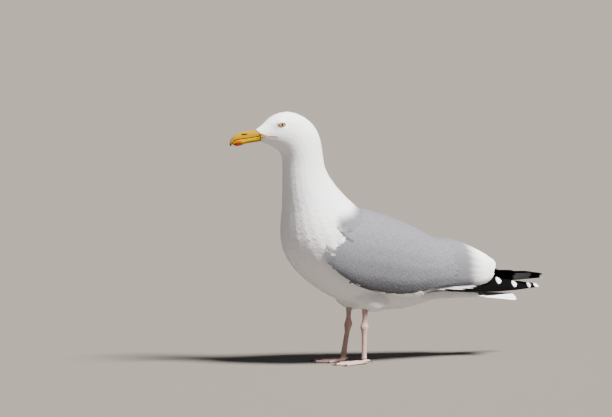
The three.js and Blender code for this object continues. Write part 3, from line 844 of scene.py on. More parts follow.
def dress(surface, wing):
    """Every small feather of the body."""
    def spacing(points):
        run = along_spine(points)[0]
        closer = (1 - 0.35 * near_thigh(points)) * (1 - 0.33 * on_upper_back(points))
        return read_table(PLUMAGE, run)[0] * closer

    def wanted(points):
        return (clear_of_face(points) & ~covered(surface, points)).astype(float)

    spots = scattered(surface, spacing, wanted)
    high = spots[:, 2] > MANTLE_LOW
    spots = spots[(surface.nearest(spots, wing)[2] < 0.5) | (mantle_depth(spots) < 0) & high]
    run = along_spine(spots)[0]
    _, normals = surface.nearest(spots)
    clear = clear_of_face(spots + lie(spots, normals) * 3.9) | (run > 90)
    clear &= (spots[:, 0] < TAIL["root"] - 12) | (normals[:, 2] < 0.1)
    spots, run = spots[clear], run[clear]
    grey = (mantle_depth(spots) > 0) & (spots[:, 2] > MANTLE_LOW) & (spots[:, 0] > GREY_FRONT)
    parts = {"coat_head": run < HEAD_RUN, "coat_neck": (run >= HEAD_RUN) & (run < NECK_RUN) & ~grey,
             "coat_body": (run >= NECK_RUN) & ~grey, "coat_mantle": grey}
    for k, (name, mask) in enumerate(parts.items()):
        coat_piece(name, surface, spots[mask], np.random.default_rng(100 + k))
        print(name, int(mask.sum()), "feathers")


def covered(surface, points):
    """True where the skin faces the inside of the bird, such as the wing's inner side."""
    spot, normal = surface.nearest(points)
    hits = [surface.tree.ray_cast(Vector(p), Vector(n), 26) for p, n in zip(spot + normal * 0.6, normal)]
    return np.array([hit[0] is not None for hit in hits])


def under_quills(points):
    """True on the rump and tail's root, which the folded primaries lie against."""
    x, y, z = points.T
    edge_y, edge_z, _, _ = read_table(BANDS[LEFT], x)
    return (x > BANDS[LEFT][0, 0]) & (np.abs(y) < edge_y + 8) & (z > edge_z - 5)


def skin_marking():
    # The skin along the scapulars' fold is darkened here as a painted shadow.
    plumed = body_colour(SKIN_POINTS) * (1 - 0.8 * notch_painted_shadow(SKIN_POINTS))[:, None]
    bare = bare_wedge(SKIN_POINTS)[:, None]
    return plumed * (1 - bare) + np.array(BARE_YELLOW) * bare


SKIN_POINTS, SKIN_QUADS, SKIN_WING = skin_surface()
SKIN = Surface(SKIN_POINTS, as_triangles(SKIN_QUADS))
skin = piece("skin", SKIN_POINTS, SKIN_QUADS, skin_material())
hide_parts(*FLESH, *CLOAK)
give(skin, "marking", skin_marking())
give_map(skin, unwrap(SKIN_POINTS))
dress(SKIN, SKIN_WING)


# ---------------------------------------------------------------- the folded wings' sheet
class Sheet:
    """The outer surface of one folded wing, read by x and by the angle down from the ridge."""

    AXIS = np.array([(-90, 186), (-27, 180), (49, 168), (123, 152), (200, 144), (300, 138)], float)
    X_STEP = 4.0
    XS = np.arange(-84.0, 301.0, X_STEP)
    TURNS = np.radians(np.arange(-24.0, 133.0, 4.0))
    TURN_STEP = math.radians(4.0)
    FAR = 160.0

    def __init__(self, side):
        self.side = side
        tree = nodes_tree(CLOAK)
        radius = np.full((len(self.XS), len(self.TURNS)), np.nan)
        for i, x in enumerate(self.XS):
            for j, turn in enumerate(self.TURNS):
                way = self.ray(turn)
                start = self.axis(x) + way * self.FAR
                hit = tree.ray_cast(Vector(start), Vector(-way), self.FAR)
                if hit[0] is not None:
                    radius[i, j] = self.FAR - hit[3]
        self.radius = self.blurred(self.filled(radius))
        self.low = np.array([self.edge_turn(x) for x in self.XS])

    def edge_turn(self, x):
        """The angle at which the wing's lower edge lies."""
        height = np.interp(x, *LOWER_EDGE.T)
        turns = np.radians(np.arange(40, 131, 0.5))
        z = self.at(np.full(len(turns), float(x)), turns)[:, 2]
        return turns[np.abs(z - height).argmin()]

    def low_turn(self, x):
        """The same angle at any x, between the ones found."""
        return np.interp(x, self.XS, self.low)

    @staticmethod
    def filled(radius):
        """The readings with the places that no ray hit filled from their neighbours."""
        for i, row in enumerate(radius):
            good = np.flatnonzero(~np.isnan(row))
            if len(good) > 2:
                radius[i] = np.interp(np.arange(len(row)), good, row[good])
        rows = np.flatnonzero(~np.isnan(radius).any(1))
        for i in range(len(radius)):
            if i < rows[0]:
                radius[i] = radius[rows[0]]
            elif i > rows[-1]:
                slope = (radius[rows[-1]] - radius[rows[-1] - 6]) / 6
                radius[i] = np.maximum(radius[rows[-1]] + slope * (i - rows[-1]), 3)
        return radius

    @staticmethod
    def blurred(radius):
        """The readings evened a little, so that small steps of the solids do not show."""
        for _ in range(3):
            edge = np.pad(radius, 1, mode="edge")
            radius = (edge[:-2, 1:-1] + edge[2:, 1:-1] + edge[1:-1, :-2] + edge[1:-1, 2:]
                      + 2 * edge[1:-1, 1:-1]) / 6
        return radius

    def axis(self, x):
        """The point inside the body from which the sheet is read."""
        x = np.asarray(x, float)
        return np.stack([x, np.zeros_like(x), np.interp(x, *self.AXIS.T)], -1)

    def ray(self, turn):
        """The outward direction at an angle down from the ridge."""
        turn = np.asarray(turn, float)
        return np.stack([np.zeros_like(turn), self.side * np.sin(turn), np.cos(turn)], -1)

    def reach(self, x, turn):
        """How far out the sheet lies, read between the four nearest readings."""
        i = np.clip((x - self.XS[0]) / self.X_STEP, 0, len(self.XS) - 1.001)
        j = np.clip((turn - self.TURNS[0]) / self.TURN_STEP, 0, len(self.TURNS) - 1.001)
        a, b = i.astype(int), j.astype(int)
        s, t = i - a, j - b
        r = self.radius
        return ((1 - s) * (1 - t) * r[a, b] + s * (1 - t) * r[a + 1, b]
                + (1 - s) * t * r[a, b + 1] + s * t * r[a + 1, b + 1])

    def at(self, x, turn):
        """The sheet's point at an x and an angle."""
        x, turn = np.broadcast_arrays(np.asarray(x, float), np.asarray(turn, float))
        return self.axis(x) + self.ray(turn) * self.reach(x, turn)[..., None]

    def frame(self, x, turn):
        """Surface point, outward normal, backward way and downward way."""
        here = self.at(x, turn)
        back = unit(self.at(x + 1.5, turn) - self.at(x - 1.5, turn))
        down = unit(self.at(x, turn + 0.02) - self.at(x, turn - 0.02))
        normal = unit(np.cross(back, down)) * self.side
        return here, normal, back, down


# ---------------------------------------------------------------- quill feathers
def quill_grid(length, half, tip, skew, count, across):
    """Along and across coordinates in millimetres for a quill with a rounded or pointed tip."""
    u = 1 - (1 - np.linspace(0, 1, count)) ** 1.7  # closer together towards the tip
    from_tip = length * (1 - u)
    base = 0.45 + 0.55 * np.sin(np.minimum(u / 0.35, 1) * math.pi / 2)
    share = np.clip(from_tip / tip, 0, 1)
    width = half * base * np.sqrt(np.clip(1 - (1 - share) ** 2.2, 0.004, 1))
    v = np.linspace(-1, 1, across)
    sides = np.where(v < 0, v * (1 - skew), v * (1 + skew))
    return u, v, from_tip[:, None] + 0 * v[None], width[:, None] * sides[None]


class Quills:
    """Gathers large feathers into one piece, each with its own cell of the OFBake map."""

    def __init__(self, name, slot, material, cells):
        self.name, self.slot, self.material, self.cells = name, slot, material, cells
        self.points, self.faces, self.marks, self.uv = [], [], [], []
        self.values = {"along": [], "across": [], "tone": []}

    def add(self, points, u, v, marking, flip, tone):
        quads, along, across = vane_grid(u, v, 1)
        quads = quads + sum(len(p) for p in self.points)
        row, column = divmod(len(self.points), self.cells)
        cell = np.stack([column + 0.05 + 0.9 * (across + 1) / 2, row + 0.05 + 0.9 * along], 1)
        self.uv.append(cell / self.cells)
        self.points.append(points.reshape(-1, 3))
        self.faces.append(quads[:, ::-1] if flip else quads)
        self.values["along"].append(along)
        self.values["across"].append(across)
        self.values["tone"].append(np.full(len(along), tone))
        self.marks.append(np.broadcast_to(marking, points.shape).reshape(-1, 3))

    def finish(self):
        obj = piece(self.name, np.vstack(self.points), np.vstack(self.faces), self.material)
        for name, values in self.values.items():
            give(obj, name, np.concatenate(values))
        give(obj, "marking", np.vstack(self.marks))
        give_map(obj, np.vstack(self.uv))
        return obj


def sheet_quill(group, sheet, root, tip, half, point, lift, colour, skew=0.0, count=40, across=9):
    """A quill that lies along the folded wing, from root to tip as (x, turn in degrees)."""
    (x0, t0), (x1, t1) = root, tip
    ends = sheet.at(np.array([x0, x1]), np.radians([t0, t1]))
    length = np.linalg.norm(ends[1] - ends[0])
    u, v, from_tip, offset = quill_grid(length, half, point, skew, count, across)
    bend = u[:, None] ** 1.15
    x = x0 + (x1 - x0) * bend
    turn = np.radians(t0 + (t1 - t0) * bend)
    _, normal, back, down = sheet.frame(x, turn)
    side = unit(np.cross(normal, unit(ends[1] - ends[0])) * sheet.side)
    per_turn = np.linalg.norm(sheet.at(x, turn + 0.01) - sheet.at(x, turn - 0.01), axis=-1) / 0.02
    dx = offset * (side * back).sum(-1)
    dt = offset * (side * down).sum(-1) / np.maximum(per_turn, 4)
    here, normal, _, _ = sheet.frame(x + dx, turn + dt)
    low, high, cup = lift
    rise = low + (high - low) * u[:, None] ** 1.2 - cup * v[None] ** 2 * (0.3 + 0.7 * u[:, None])
    points = here + normal * rise[..., None]
    marking = colour(from_tip, v[None], u[:, None])
    group.add(points, u, v, marking, flip=sheet.side == LEFT, tone=rng.random())


def tertial_marking(white, fade):
    def colour(from_tip, v, u):
        ragged = from_tip + 2.5 * np.sin(9 * v + 3 * u) + 3 * np.abs(v)
        body = blend(GREY, GREY_FRINGE, steps(np.abs(v), 0.86, 1.0))
        return blend(WHITE, body, steps(ragged, white, white + fade))
    return colour


# Tertials: root and tip as (x, degrees down from the ridge), half width and lift.
TERTIALS = [
    ((92, 104), (212, 108), 14, 0.5),
    ((94, 92), (240, 106), 15, 0.8),
    ((96, 78), (253, 95), 17, 1.1),
    ((98, 64), (254, 80), 17, 1.4),
    ((100, 48), (249, 62), 18, 1.7),
    ((104, 30), (262, 42), 19, 2.0),
    ((110, 14), (262, 22), 18, 2.3),
    ((118, 2), (252, 6), 16, 2.6),
]
TERTIAL_REACH = {LEFT: -6, RIGHT: 2}  # added to the tips' x, because the wings don't lie quite alike
TERTIAL_WHITE_FROM = 230  # white behind this x
TERTIAL_FADE = 36  # and fading to grey over this length before it


def tertial_feathers(sheets):
    group = Quills("tertial_feathers", "grey_feathers", GREY_LONG, 4)
    for side, sheet in sheets.items():
        for root, tip, half, lift in TERTIALS:
            tip = (tip[0] + TERTIAL_REACH[side], tip[1])
            marking = tertial_marking(tip[0] - TERTIAL_WHITE_FROM, TERTIAL_FADE)
            sheet_quill(group, sheet, root, tip, half, 20, (-2.6, lift, 1.4), marking, skew=0.1)
    return group.finish()


def secondary_feathers(sheets):
    """The secondaries' white tips, which show as one lobe under the coverts' lower edge."""
    group = Quills("secondary_feathers", "grey_feathers", GREY_LONG, 5)
    for sheet in sheets.values():
        for k, share in enumerate(np.linspace(0, 1, 7)):
            tip_x = 66 + 38 * share
            root_x = tip_x - 60
            tip_turn = math.degrees(sheet.low_turn(tip_x)) + 3 + 3.5 * share
            root_turn = math.degrees(sheet.low_turn(root_x)) - 7
            sheet_quill(group, sheet, (root_x, root_turn), (tip_x, tip_turn), 7, 9,
                        (-4, 0.2 + 0.2 * k, 0.8), tertial_marking(30, 12), count=32, across=7)
    return group.finish()


WING_FRONT = -81.0
HEM = 5.0  # the width over which the coverts' lower row is gathered to the wing's edge
# The wing's lower edge seen from the side, as [x, z].
LOWER_EDGE = np.array([
    (-81, 176), (-58, 154), (-27, 134), (8, 121), (49, 115), (86, 114), (123, 123), (147, 126),
    (174, 126), (200, 127), (234, 128), (272, 131),
], float)
# Where the wing's grey begins: x, and the angle in degrees down from the ridge.
GREY_TOP = np.array([(-90, 64), (-81, 59), (-58, 39), (-27, 17), (8, -3), (300, -3)], float)


def covert_roots(sheet):
    """Staggered columns of feathers from the wing's front to its back, as x and turn."""
    rows, x, column = [], -80.0, 0
    while x < COVERTS_END:
        spacing = read_table(COVERTS, x)[0]
        top, low = math.radians(np.interp(x, *GREY_TOP.T)), sheet.low_turn(x) - 0.02
        per_turn = np.linalg.norm(sheet.at(x, 1.0) - sheet.at(x, 0.9)) / 0.1
        count = max(int((low - top) * per_turn / (0.82 * spacing)), 1)
        for k in range(count + 1):
            share = (k + 0.5 * (column % 2)) / count
            if share <= 1:
                rows.append((x, top + (low - top) * share))
        x += 0.5 * spacing
        column += 1
    rows = np.array(rows)
    return rows[mantle_depth(sheet.at(rows[:, 0], rows[:, 1])) > -3]


def wing_coverts(sheets):
    """The small and middling grey feathers of each folded wing."""
    for name, side in SIDES.items():
        sheet = sheets[side]
        random = np.random.default_rng(40 + side)
        x, turn = covert_roots(sheet).T
        x = x + random.normal(0, 0.9, len(x))
        turn = turn + random.normal(0, 0.012, len(x))
        _, length, half, lift = read_table(COVERTS, x)
        length = length * random.normal(1, 0.06, len(x))
        half = half * random.normal(1, 0.05, len(x))
        slope = np.radians(26 * np.sin(np.clip(turn, 0, 2)) * np.interp(x, [-80, 60, 220], [1.25, 0.9, 0.4]))
        slope = slope + random.normal(0, 0.05, len(x))
        lift = lift * random.uniform(0.85, 1.1, len(x))
        start = np.maximum(x - 0.55 * length, WING_FRONT + random.uniform(0, 4, len(x)))
        points, normals = sheet_vanes(
            sheet, start, turn - 0.3 * length * np.sin(slope) / 70, slope, length, half, lift)
        faces, u, v = vane_grid(VANE_ALONG, VANE_ACROSS, len(x))
        spots = sheet.at(x, turn)
        marking = body_colour(spots, 3 + random.normal(0, 1.2, len(x)))
        marking = np.where((mantle_depth(spots) > 1.5)[:, None], GREY, marking)
        # The coverts' lower rows are darkened here as painted shade, for the wing's edge turning away from
        # the light.
        marking = np.repeat(marking, len(points) // len(x), axis=0) * (1 - hem_painted_shade(points))[:, None]
        feather_piece(f"coverts_{name}_vanes", points, faces if side == RIGHT else faces[:, ::-1], normals,
                      u, v, spots, random.random(len(x)), marking, True, 0.84)
        print(name, len(x), "coverts")


def hem_painted_shade(points):
    """Painted shade: darker grey towards the wing's lower edge, where the feathers turn under away from the
    light, most of all near its front.
    """
    x, _, z = points.T
    above = z - np.interp(x, *LOWER_EDGE.T)
    return np.interp(x, [-80, -50, 40, 130], [0.1, 0.5, 0.4, 0.1]) * np.exp(-(np.maximum(above, 0) / 13) ** 2)


def sheet_vanes(sheet, x, turn, slope, length, half, lift):
    """Body feathers laid on a wing's sheet, each from its root at x and turn, sloping down."""
    along, across = VANE_ALONG[:, None], VANE_ACROSS
    each = (x, turn, slope, length, half, lift)
    x, turn, slope, length, half, lift = (value[:, None, None] for value in each)
    per_turn = np.linalg.norm(sheet.at(x, turn + 0.05) - sheet.at(x, turn - 0.05), axis=-1) / 0.1
    per_turn = np.maximum(per_turn, 12)
    back = along * np.where(along > 0.5, 1 - 0.1 * across ** 2, 1) * length
    out = outline(along) * across * half
    xs = x + back * np.cos(slope) - out * np.sin(slope)
    turns = turn + (back * np.sin(slope) + out * np.cos(slope)) / per_turn
    soft = HEM / per_turn
    over = np.maximum(turns - sheet.low_turn(xs) + soft, 0)
    turns = turns - over + soft * (1 - np.exp(-over / soft))
    here, normal, _, _ = sheet.frame(xs, turns)
    rise = 0.1 + 0.9 * along ** 1.2 - 0.3 * across ** 2 * along
    points = here + normal * ((rise - 1.0) * lift)[..., None]
    return points.reshape(-1, 3), normal.reshape(-1, 3)


# Primaries, outermost first: tip, place across the band, black length and white tip length.
PRIMARIES = [
    (349, 0.3, 199, 5),
    (347, 0.62, 160, 6),
    (333, 0.5, 127, 7),
    (303, 0.55, 88, 9),
    (271, 0.72, 48, 10),
    (240, 0.82, 0, 9),
    (214, 0.86, 0, 7),
]
# The right wing's mirror is white on the bird; it is painted dark grey as painted shade, for the far wing
# lying in shade.
MIRROR = (22, 49)  # the pale window of the right wing's outermost primary, from its tip
PRIMARY_ROOT = 96


def band_at(side, x, across):
    """A place across a wing tip's band as y and z, its outward way, and the band's height there."""
    edges = np.stack(read_table(BANDS[side], x), -1)
    low, high = edges[..., :2], edges[..., 2:]
    yz = low + (high - low) * across[..., None]
    outward = unit(np.stack([high[..., 1] - low[..., 1], low[..., 0] - high[..., 0]], -1))
    return yz, outward, np.linalg.norm(high - low, axis=-1)


def primary_marking(black, white, mirror):
    def colour(from_tip, v, u):
        ragged = from_tip + 1.2 * np.sin(7 * v + 20 * u)
        base = blend((0.24, 0.245, 0.26), (0.55, 0.55, 0.56), steps(np.abs(v), 0.55, 0.95))
        body = blend(BLACK, base, steps(ragged, black, black + 9))
        if mirror:
            window = steps(ragged, mirror[0], mirror[0] + 1.5) * steps(-ragged, -mirror[1] - 1, -mirror[1])
            # The white mirror is painted dark grey here as painted shade.
            body = blend(body, (0.10, 0.10, 0.105), window)
        edge = from_tip + 4.5 * np.abs(v) ** 2
        return blend(WHITE, body, steps(edge, white, white + 1.6))
    return colour


def primary_feathers():
    group = Quills("primary_feathers", "black_feathers", LONG_VANES, 4)
    for side in (LEFT, RIGHT):
        for layer, (tip, place_across, black, white) in enumerate(PRIMARIES):
            u, v, from_tip, offset = quill_grid(tip - PRIMARY_ROOT, 9.0, 18, 0.0, 72, 9)
            x = tip - from_tip
            rest = 0.3 + 0.45 * layer / (len(PRIMARIES) - 1)
            centre = place_across + (rest - place_across) * np.clip(from_tip / 90, 0, 1)
            _, _, height = band_at(side, x, centre)
            across = np.clip(centre + offset / height, 0.0, 1.0)
            yz, outward, _ = band_at(side, x, across)
            cup = 0.9 * (1 - v[None] ** 2)
            lift = 0.3 + 0.75 * layer + cup
            yz = yz + outward * lift[..., None]
            points = np.stack([x, side * yz[..., 0], yz[..., 1]], -1)
            mirror = MIRROR if layer == 0 and side == RIGHT else None
            marking = primary_marking(black, white, mirror)(from_tip, v[None], u[:, None])
            group.add(points, u, v, marking, flip=side == RIGHT, tone=rng.random())
    return group.finish()


# The long coverts on each side of the tail's root: x, y, z and half their height.
VENT = np.array([
    (100, 26, 107.5, 4.5), (125, 28.5, 108, 5.5), (150, 31, 109, 6), (200, 26.5, 106.4, 4.4),
    (238, 25, 104.4, 3.4),
], float)
VENT_FEATHERS = 5


def undertail_coverts(group):
    """White feathers that stand along the tail's root and close the gap under the wings."""
    for side in SIDES.values():
        for k in range(VENT_FEATHERS):
            root, tip = 104 + 8 * k, 172 + 12 * k
            u, v, from_tip, offset = quill_grid(tip - root, 1.0, 14, 0.0, 26, 7)
            x = tip - from_tip
            y, z, half = read_table(VENT, x)
            y = y + 0.5 * (VENT_FEATHERS - 1 - k) + 0.25 * offset * half + 0.6 * (1 - v[None] ** 2)
            z = z + offset * half
            group.add(np.stack([x, side * y, z], -1), u, v, WHITE, flip=side == RIGHT, tone=rng.random())


def tail_feathers():
    group = Quills("tail_feathers", "white_feathers", WHITE_LONG, 5)
    undertail_coverts(group)
    count = TAIL["feathers"]
    for k in range(count):
        spread = -1 + (2 * k + 1) / count
        end = TAIL["tip"] - TAIL["rounding"] * spread ** 2
        u, v, from_tip, offset = quill_grid(end - TAIL["root"], TAIL["half"], 11, 0.0, 30, 7)
        x = end - from_tip
        share = (x - TAIL["root"]) / (TAIL["tip"] - TAIL["root"])
        half = TAIL["root_half"] + (TAIL["tip_half"] - TAIL["root_half"]) * share
        y = spread * (half - 7) + offset
        z = TAIL["root_z"] + (TAIL["tip_z"] - TAIL["root_z"]) * share - TAIL["droop"] * y ** 2
        layer = 1 - abs(spread)
        z = z - 3.2 + 2.6 * layer + 0.7 * (1 - v[None] ** 2)
        mark = blend(WHITE, (0.7, 0.7, 0.72), steps(np.abs(v), 0.9, 1.0))
        group.add(np.stack([x, y, z], -1), u, v, mark, flip=False, tone=rng.random())
    return group.finish()


# ---------------------------------------------------------------- bill, gape and eyes
NOSTRIL = {"x": -204, "z": 386.0, "length": 5.4, "height": 1.0, "deep": 1.4}
RED_SPOT = {"x": -214.5, "z": 370.6, "length": 8.6, "height": 5.0}
# The line where the mouth closes, as [x, z], from the bill's tip to the gape's end under the eye.
MOUTH = np.array([
    (-229, 370.0), (-224.5, 372.8), (-221.5, 375.2), (-216, 377.5), (-210, 378.5), (-200, 379.1),
    (-190, 380.2), (-177, 381.8), (-168, 382.4), (-161, 382.5), (-154, 382.2), (-148, 381.6),
])
GAPE_FROM = -176  # where the two lips leave the bill


def bill_material():
    n = Nodes("bill_horn")
    grow = n.noise(90, 4)
    streak = n.noise(1.0, 3, n.stretched((60, 60, 420)))
    base = n.turning((0.265, 0.145, 0.0), (0.23, 0.115, 0.0), grow, 0.35, 0.7, 0.35)
    base = n.turning(base, (0.28, 0.16, 0.0), streak, 0.45, 0.75, 0.22)
    # The lower half's yellow is painted brighter, as painted light against the shade that it lies in.
    base = n.mix(n.value("low"), base, (0.48, 0.285, 0.0))
    spot = n.math("MULTIPLY", n.value("red"), n.between(grow, 0.2, 0.6, 0.75, 1.0))
    horn = n.mix(n.value("horn"), n.mix(spot, base, (0.30, 0.006, 0.001)), (0.20, 0.12, 0.035))
    # The nostril's hollow and the mouth's line are darkened here as painted shade.
    n.set(Base_Color=n.mix(n.value("dark"), horn, (0.02, 0.008, 0.005)))
    n.set(Roughness=0.6, Specular_IOR_Level=0.03)
    n.bump(n.math("ADD", grow, n.math("MULTIPLY", streak, 0.6)), 0.12, 0.0004)
    return n.material


def box_map(points, normals):
    """An unwrap of a slim shape: its two sides are laid out in the map's two halves."""
    low, high = points.min(0), points.max(0)
    share = (points - low) / np.maximum(high - low, 1e-6)
    side = (normals[:, 1] > 0).astype(float)
    return np.stack([0.02 + 0.46 * share[:, 0] + 0.5 * side, 0.02 + 0.96 * share[:, 2]], 1)


def bill_piece(node, material):
    """One half of the bill, with its nostril, red spot and horn-coloured tip; the nostril's hollow and the
    line where the two halves meet are darkened as painted shade.
    """
    upper = node == "bill_upper"
    points, quads = remeshed(node_mesh(node), VOXEL["bill"], 8)
    normals = point_normals(points, as_triangles(quads))
    x, _, z = points.T
    red = np.exp(-(((x - RED_SPOT["x"]) / RED_SPOT["length"]) ** 2
                   + ((z - RED_SPOT["z"]) / RED_SPOT["height"]) ** 2) ** 2.4)
    horn = np.clip((-x - 219) / 9, 0, 1) * 0.75
    hole = ((x - NOSTRIL["x"]) / NOSTRIL["length"]) ** 2 + ((z - NOSTRIL["z"]) / NOSTRIL["height"]) ** 2
    inside = np.clip(1.4 - hole, 0, 1) * upper
    lip = np.exp(-((hole - 1.9) / 0.6) ** 2) * upper
    points = points + normals * (0.07 * lip - NOSTRIL["deep"] * inside)[:, None]
    # The line where the two halves meet is darkened as painted shade in the crease.
    over = (points[:, 2] - np.interp(points[:, 0], *MOUTH.T)) * (1 if upper else -1)
    edge = np.clip((0.35 - over) / 0.3, 0, 1) * 0.85
    obj = piece(node + "_horn", points, quads, material)
    give(obj, "red", red * (0.35 if upper else 1.0))
    give(obj, "horn", horn)
    # How much brighter the lower half is painted, as painted light against its shade.
    give(obj, "low", np.full(len(points), 0.0 if upper else 0.85))
    give(obj, "dark", np.clip(np.maximum(inside * 1.5, edge), 0, 1))
    give_map(obj, box_map(points, normals))
    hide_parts(node)


def tube(path, radius, around):
    """Points and quads of a round tube along a path."""
    way = unit(np.gradient(path, axis=0))
    flat = unit(np.cross(way, [0.0, 0.0, 1.0]))
    up = np.cross(flat, way)
    turn = np.linspace(0, 2 * math.pi, around, endpoint=False)
    ring = flat[:, None] * np.cos(turn)[None, :, None] + up[:, None] * np.sin(turn)[None, :, None]
    points = path[:, None] + ring * np.asarray(radius)[:, None, None]
    return points, loop_quads(len(path), around)


def loop_quads(rows, around):
    """The quads between rings of points, one ring after another."""
    index = np.arange(rows * around).reshape(rows, around)
    beside = np.roll(index, -1, axis=1)
    return np.stack([index[:-1], beside[:-1], beside[1:], index[1:]], -1).reshape(-1, 4)


def rictus_skin(material):
    """The bare yellow skin that carries the bill's base back along the mouth."""
    face = tree_of(joined([(SKIN.points, SKIN.triangles), node_mesh("bill_upper"), node_mesh("bill_lower")]))
    rows, columns = 12, 34
    x = np.linspace(RICTUS[0, 0], RICTUS[-1, 0], columns)[:, None]
    down = np.linspace(0, 1, rows)[None]
    quads, _, share = vane_grid(x[:, 0], down[0], 1)
    top, low = read_table(RICTUS, x)
    z = top + (low - top) * down
    x = x + 0 * z
    for name, side in SIDES.items():
        hits = [face.ray_cast(Vector((a, side * 30, b)), Vector((0, -side, 0)))[3]
                for a, b in zip(x.flat, z.flat)]
        y = 30 - np.array([26 if hit is None else hit for hit in hits]).reshape(x.shape)
        for _ in range(4):
            y[1:-1] = (y[:-2] + 2 * y[1:-1] + y[2:]) / 4
        rim = np.minimum(np.minimum(down, 1 - down) * (top - low) / 0.9, 1)
        end = np.minimum((RICTUS[-1, 0] - x) / 3.0, 1) * np.minimum((x - RICTUS[0, 0]) / 4.0, 1)
        y = y - 0.35 + 0.6 * np.minimum(rim, end)
        points = np.stack([x, side * y, z], -1).reshape(-1, 3)
        obj = piece(f"rictus_{name}", points, quads[:, ::-1] if side == RIGHT else quads, material)
        seam = np.abs(z - np.interp(x, *MOUTH.T))
        give(obj, "red", np.zeros(x.size))
        give(obj, "horn", 0.8 * steps(x, -170, -162)[..., 0].ravel())
        # Along the mouth's line the bare skin is darkened: partly the gape's own dark line, partly painted
        # shade in the crease.
        give(obj, "dark", (0.8 * np.clip(1.3 - seam / 0.4, 0, 1)).ravel())
        back = (x - RICTUS[0, 0]).ravel() / np.ptp(x)
        give_map(obj, 0.02 + 0.96 * np.stack([back, share], 1))


def gape_material():
    n = Nodes("gape_skin")
    back = n.value("back")
    worn = n.noise(300, 3)
    base = n.turning((0.60, 0.34, 0.03), (0.30, 0.075, 0.03), back, 0.35, 0.75)
    n.set(Base_Color=n.turning(base, (0.2, 0.05, 0.02), worn, 0.4, 0.8, 0.3), Roughness=0.5)
    n.bump(worn, 0.2, 0.0003)
    return n.material


LIP = {"steps": 40, "around": 10, "apart": 0.4}


def gapes():
    """The bare corners of the mouth, two thin lips that run back under the eyes."""
    share = np.linspace(0, 1, LIP["steps"])
    x = GAPE_FROM + (MOUTH[-1, 0] - GAPE_FROM) * share
    z = np.interp(x, *MOUTH.T)
    radius = np.interp(share, [0, 0.4, 0.9, 1], [0.3, 0.45, 0.32, 0.08])
    back, turn = np.repeat(share, LIP["around"]), np.tile(np.arange(LIP["around"]), LIP["steps"])
    points, faces, uv = [], [], []
    for side in SIDES.values():
        spot, normal = SKIN.nearest(np.stack([x, side * (9 + 8 * share), z], 1))
        for lip in (-1, 1):
            line = spot + normal * 0.4 + np.array([0, 0, LIP["apart"] * lip]) * (1 - 0.7 * share[:, None])
            ring, quads = tube(line, radius, LIP["around"])
            faces.append(quads + len(points) * len(back))
            uv.append(np.stack([0.02 + 0.96 * back, (len(points) + 0.1 + 0.08 * turn) / 4], 1))
            points.append(ring.reshape(-1, 3))
    obj = piece("gape_lips", np.vstack(points), np.vstack(faces), gape_material())
    give(obj, "back", np.tile(back, len(points)))
    give_map(obj, np.vstack(uv))


def eye_oval(turn, grow):
    """A point of the eye's outline in x and z, a little pointed at its two corners."""
    a, b = OPENING[0] + grow, OPENING[1] + grow * 0.9
    u, v = a * np.cos(turn), b * np.sin(turn) * np.abs(np.sin(turn)) ** 0.15
    return (EYE["x"] + u * math.cos(EYE_TILT) - v * math.sin(EYE_TILT),
            EYE["z"] + v * math.cos(EYE_TILT) + u * math.sin(EYE_TILT))


def eye_material():
    n = Nodes("eye_ball")
    away = n.value("away")
    ray = n.noise(1.0, 4, n.stretched((900, 60, 900)))
    iris = n.turning((0.46, 0.35, 0.12), (0.32, 0.21, 0.06), ray, 0.35, 0.7, 0.6)
    iris = n.turning(iris, (0.34, 0.21, 0.06), away, 0.0026, 0.0050, 0.8)
    rim = n.turning(iris, (0.02, 0.012, 0.008), away, 0.0048, 0.0053)
    pupil = n.mix(n.between(away, 0.00215, 0.00235, 1.0, 0.0), rim, (0.003, 0.003, 0.004))
    n.set(Base_Color=pupil, Roughness=0.12, Specular_IOR_Level=0.6, Coat_Weight=1.0, Coat_Roughness=0.03)
    return n.material


def lid_material():
    n = Nodes("eye_ring")
    worn = n.noise(700, 3)
    base = n.turning((0.55, 0.20, 0.035), (0.30, 0.09, 0.02), worn, 0.35, 0.7, 0.5)
    n.set(Base_Color=n.mix(n.value("inner"), base, (0.02, 0.01, 0.008)), Roughness=0.5)
    n.bump(worn, 0.3, 0.0002)
    return n.material


# The ring and the lid round an eye, in rows: the distance out from the opening, and the height over the
# lid's level.
RING_ROWS = [
    (-0.1, -0.75), (0.0, -0.1), (0.12, 0.3), (0.3, 0.42), (0.48, 0.34), (RING, 0.1), (RING + 0.3, -0.4),
]
LID_ROWS = [
    (RING - 0.25, -0.5), (RING, 0.0), (0.95, 0.2), (1.3, 0.16), (1.55, -0.02), (1.85, 0.16), (2.3, 0.2),
    (2.8, 0.1), (3.6, 0.05), (4.6, -0.15), (5.4, -0.8),
]


def disc_map(away, turn, size=1.0):
    """An unwrap of something round: its middle in the map's middle."""
    return np.stack([0.5 + size * (away * way(turn)).ravel() for way in (np.cos, np.sin)], 1)


def round_eye(name, side, rows, material):
    """A band round one eye that follows the lids, row by row."""
    turn = np.linspace(0, 2 * math.pi, 72, endpoint=False)
    grow, rise = (np.array(rows)[:, k, None] for k in (0, 1))
    x, z = eye_oval(turn[None], grow)
    points = np.stack([x, side * (lid_level(side, x, z) + rise), z], -1).reshape(-1, 3)
    quads = loop_quads(len(rows), len(turn))
    obj = piece(name, points, quads if side == RIGHT else quads[:, ::-1], material)
    give_map(obj, disc_map(0.2 + 0.28 * np.arange(len(rows))[:, None] / len(rows), turn))
    return obj, points, (grow + 0 * x).ravel()


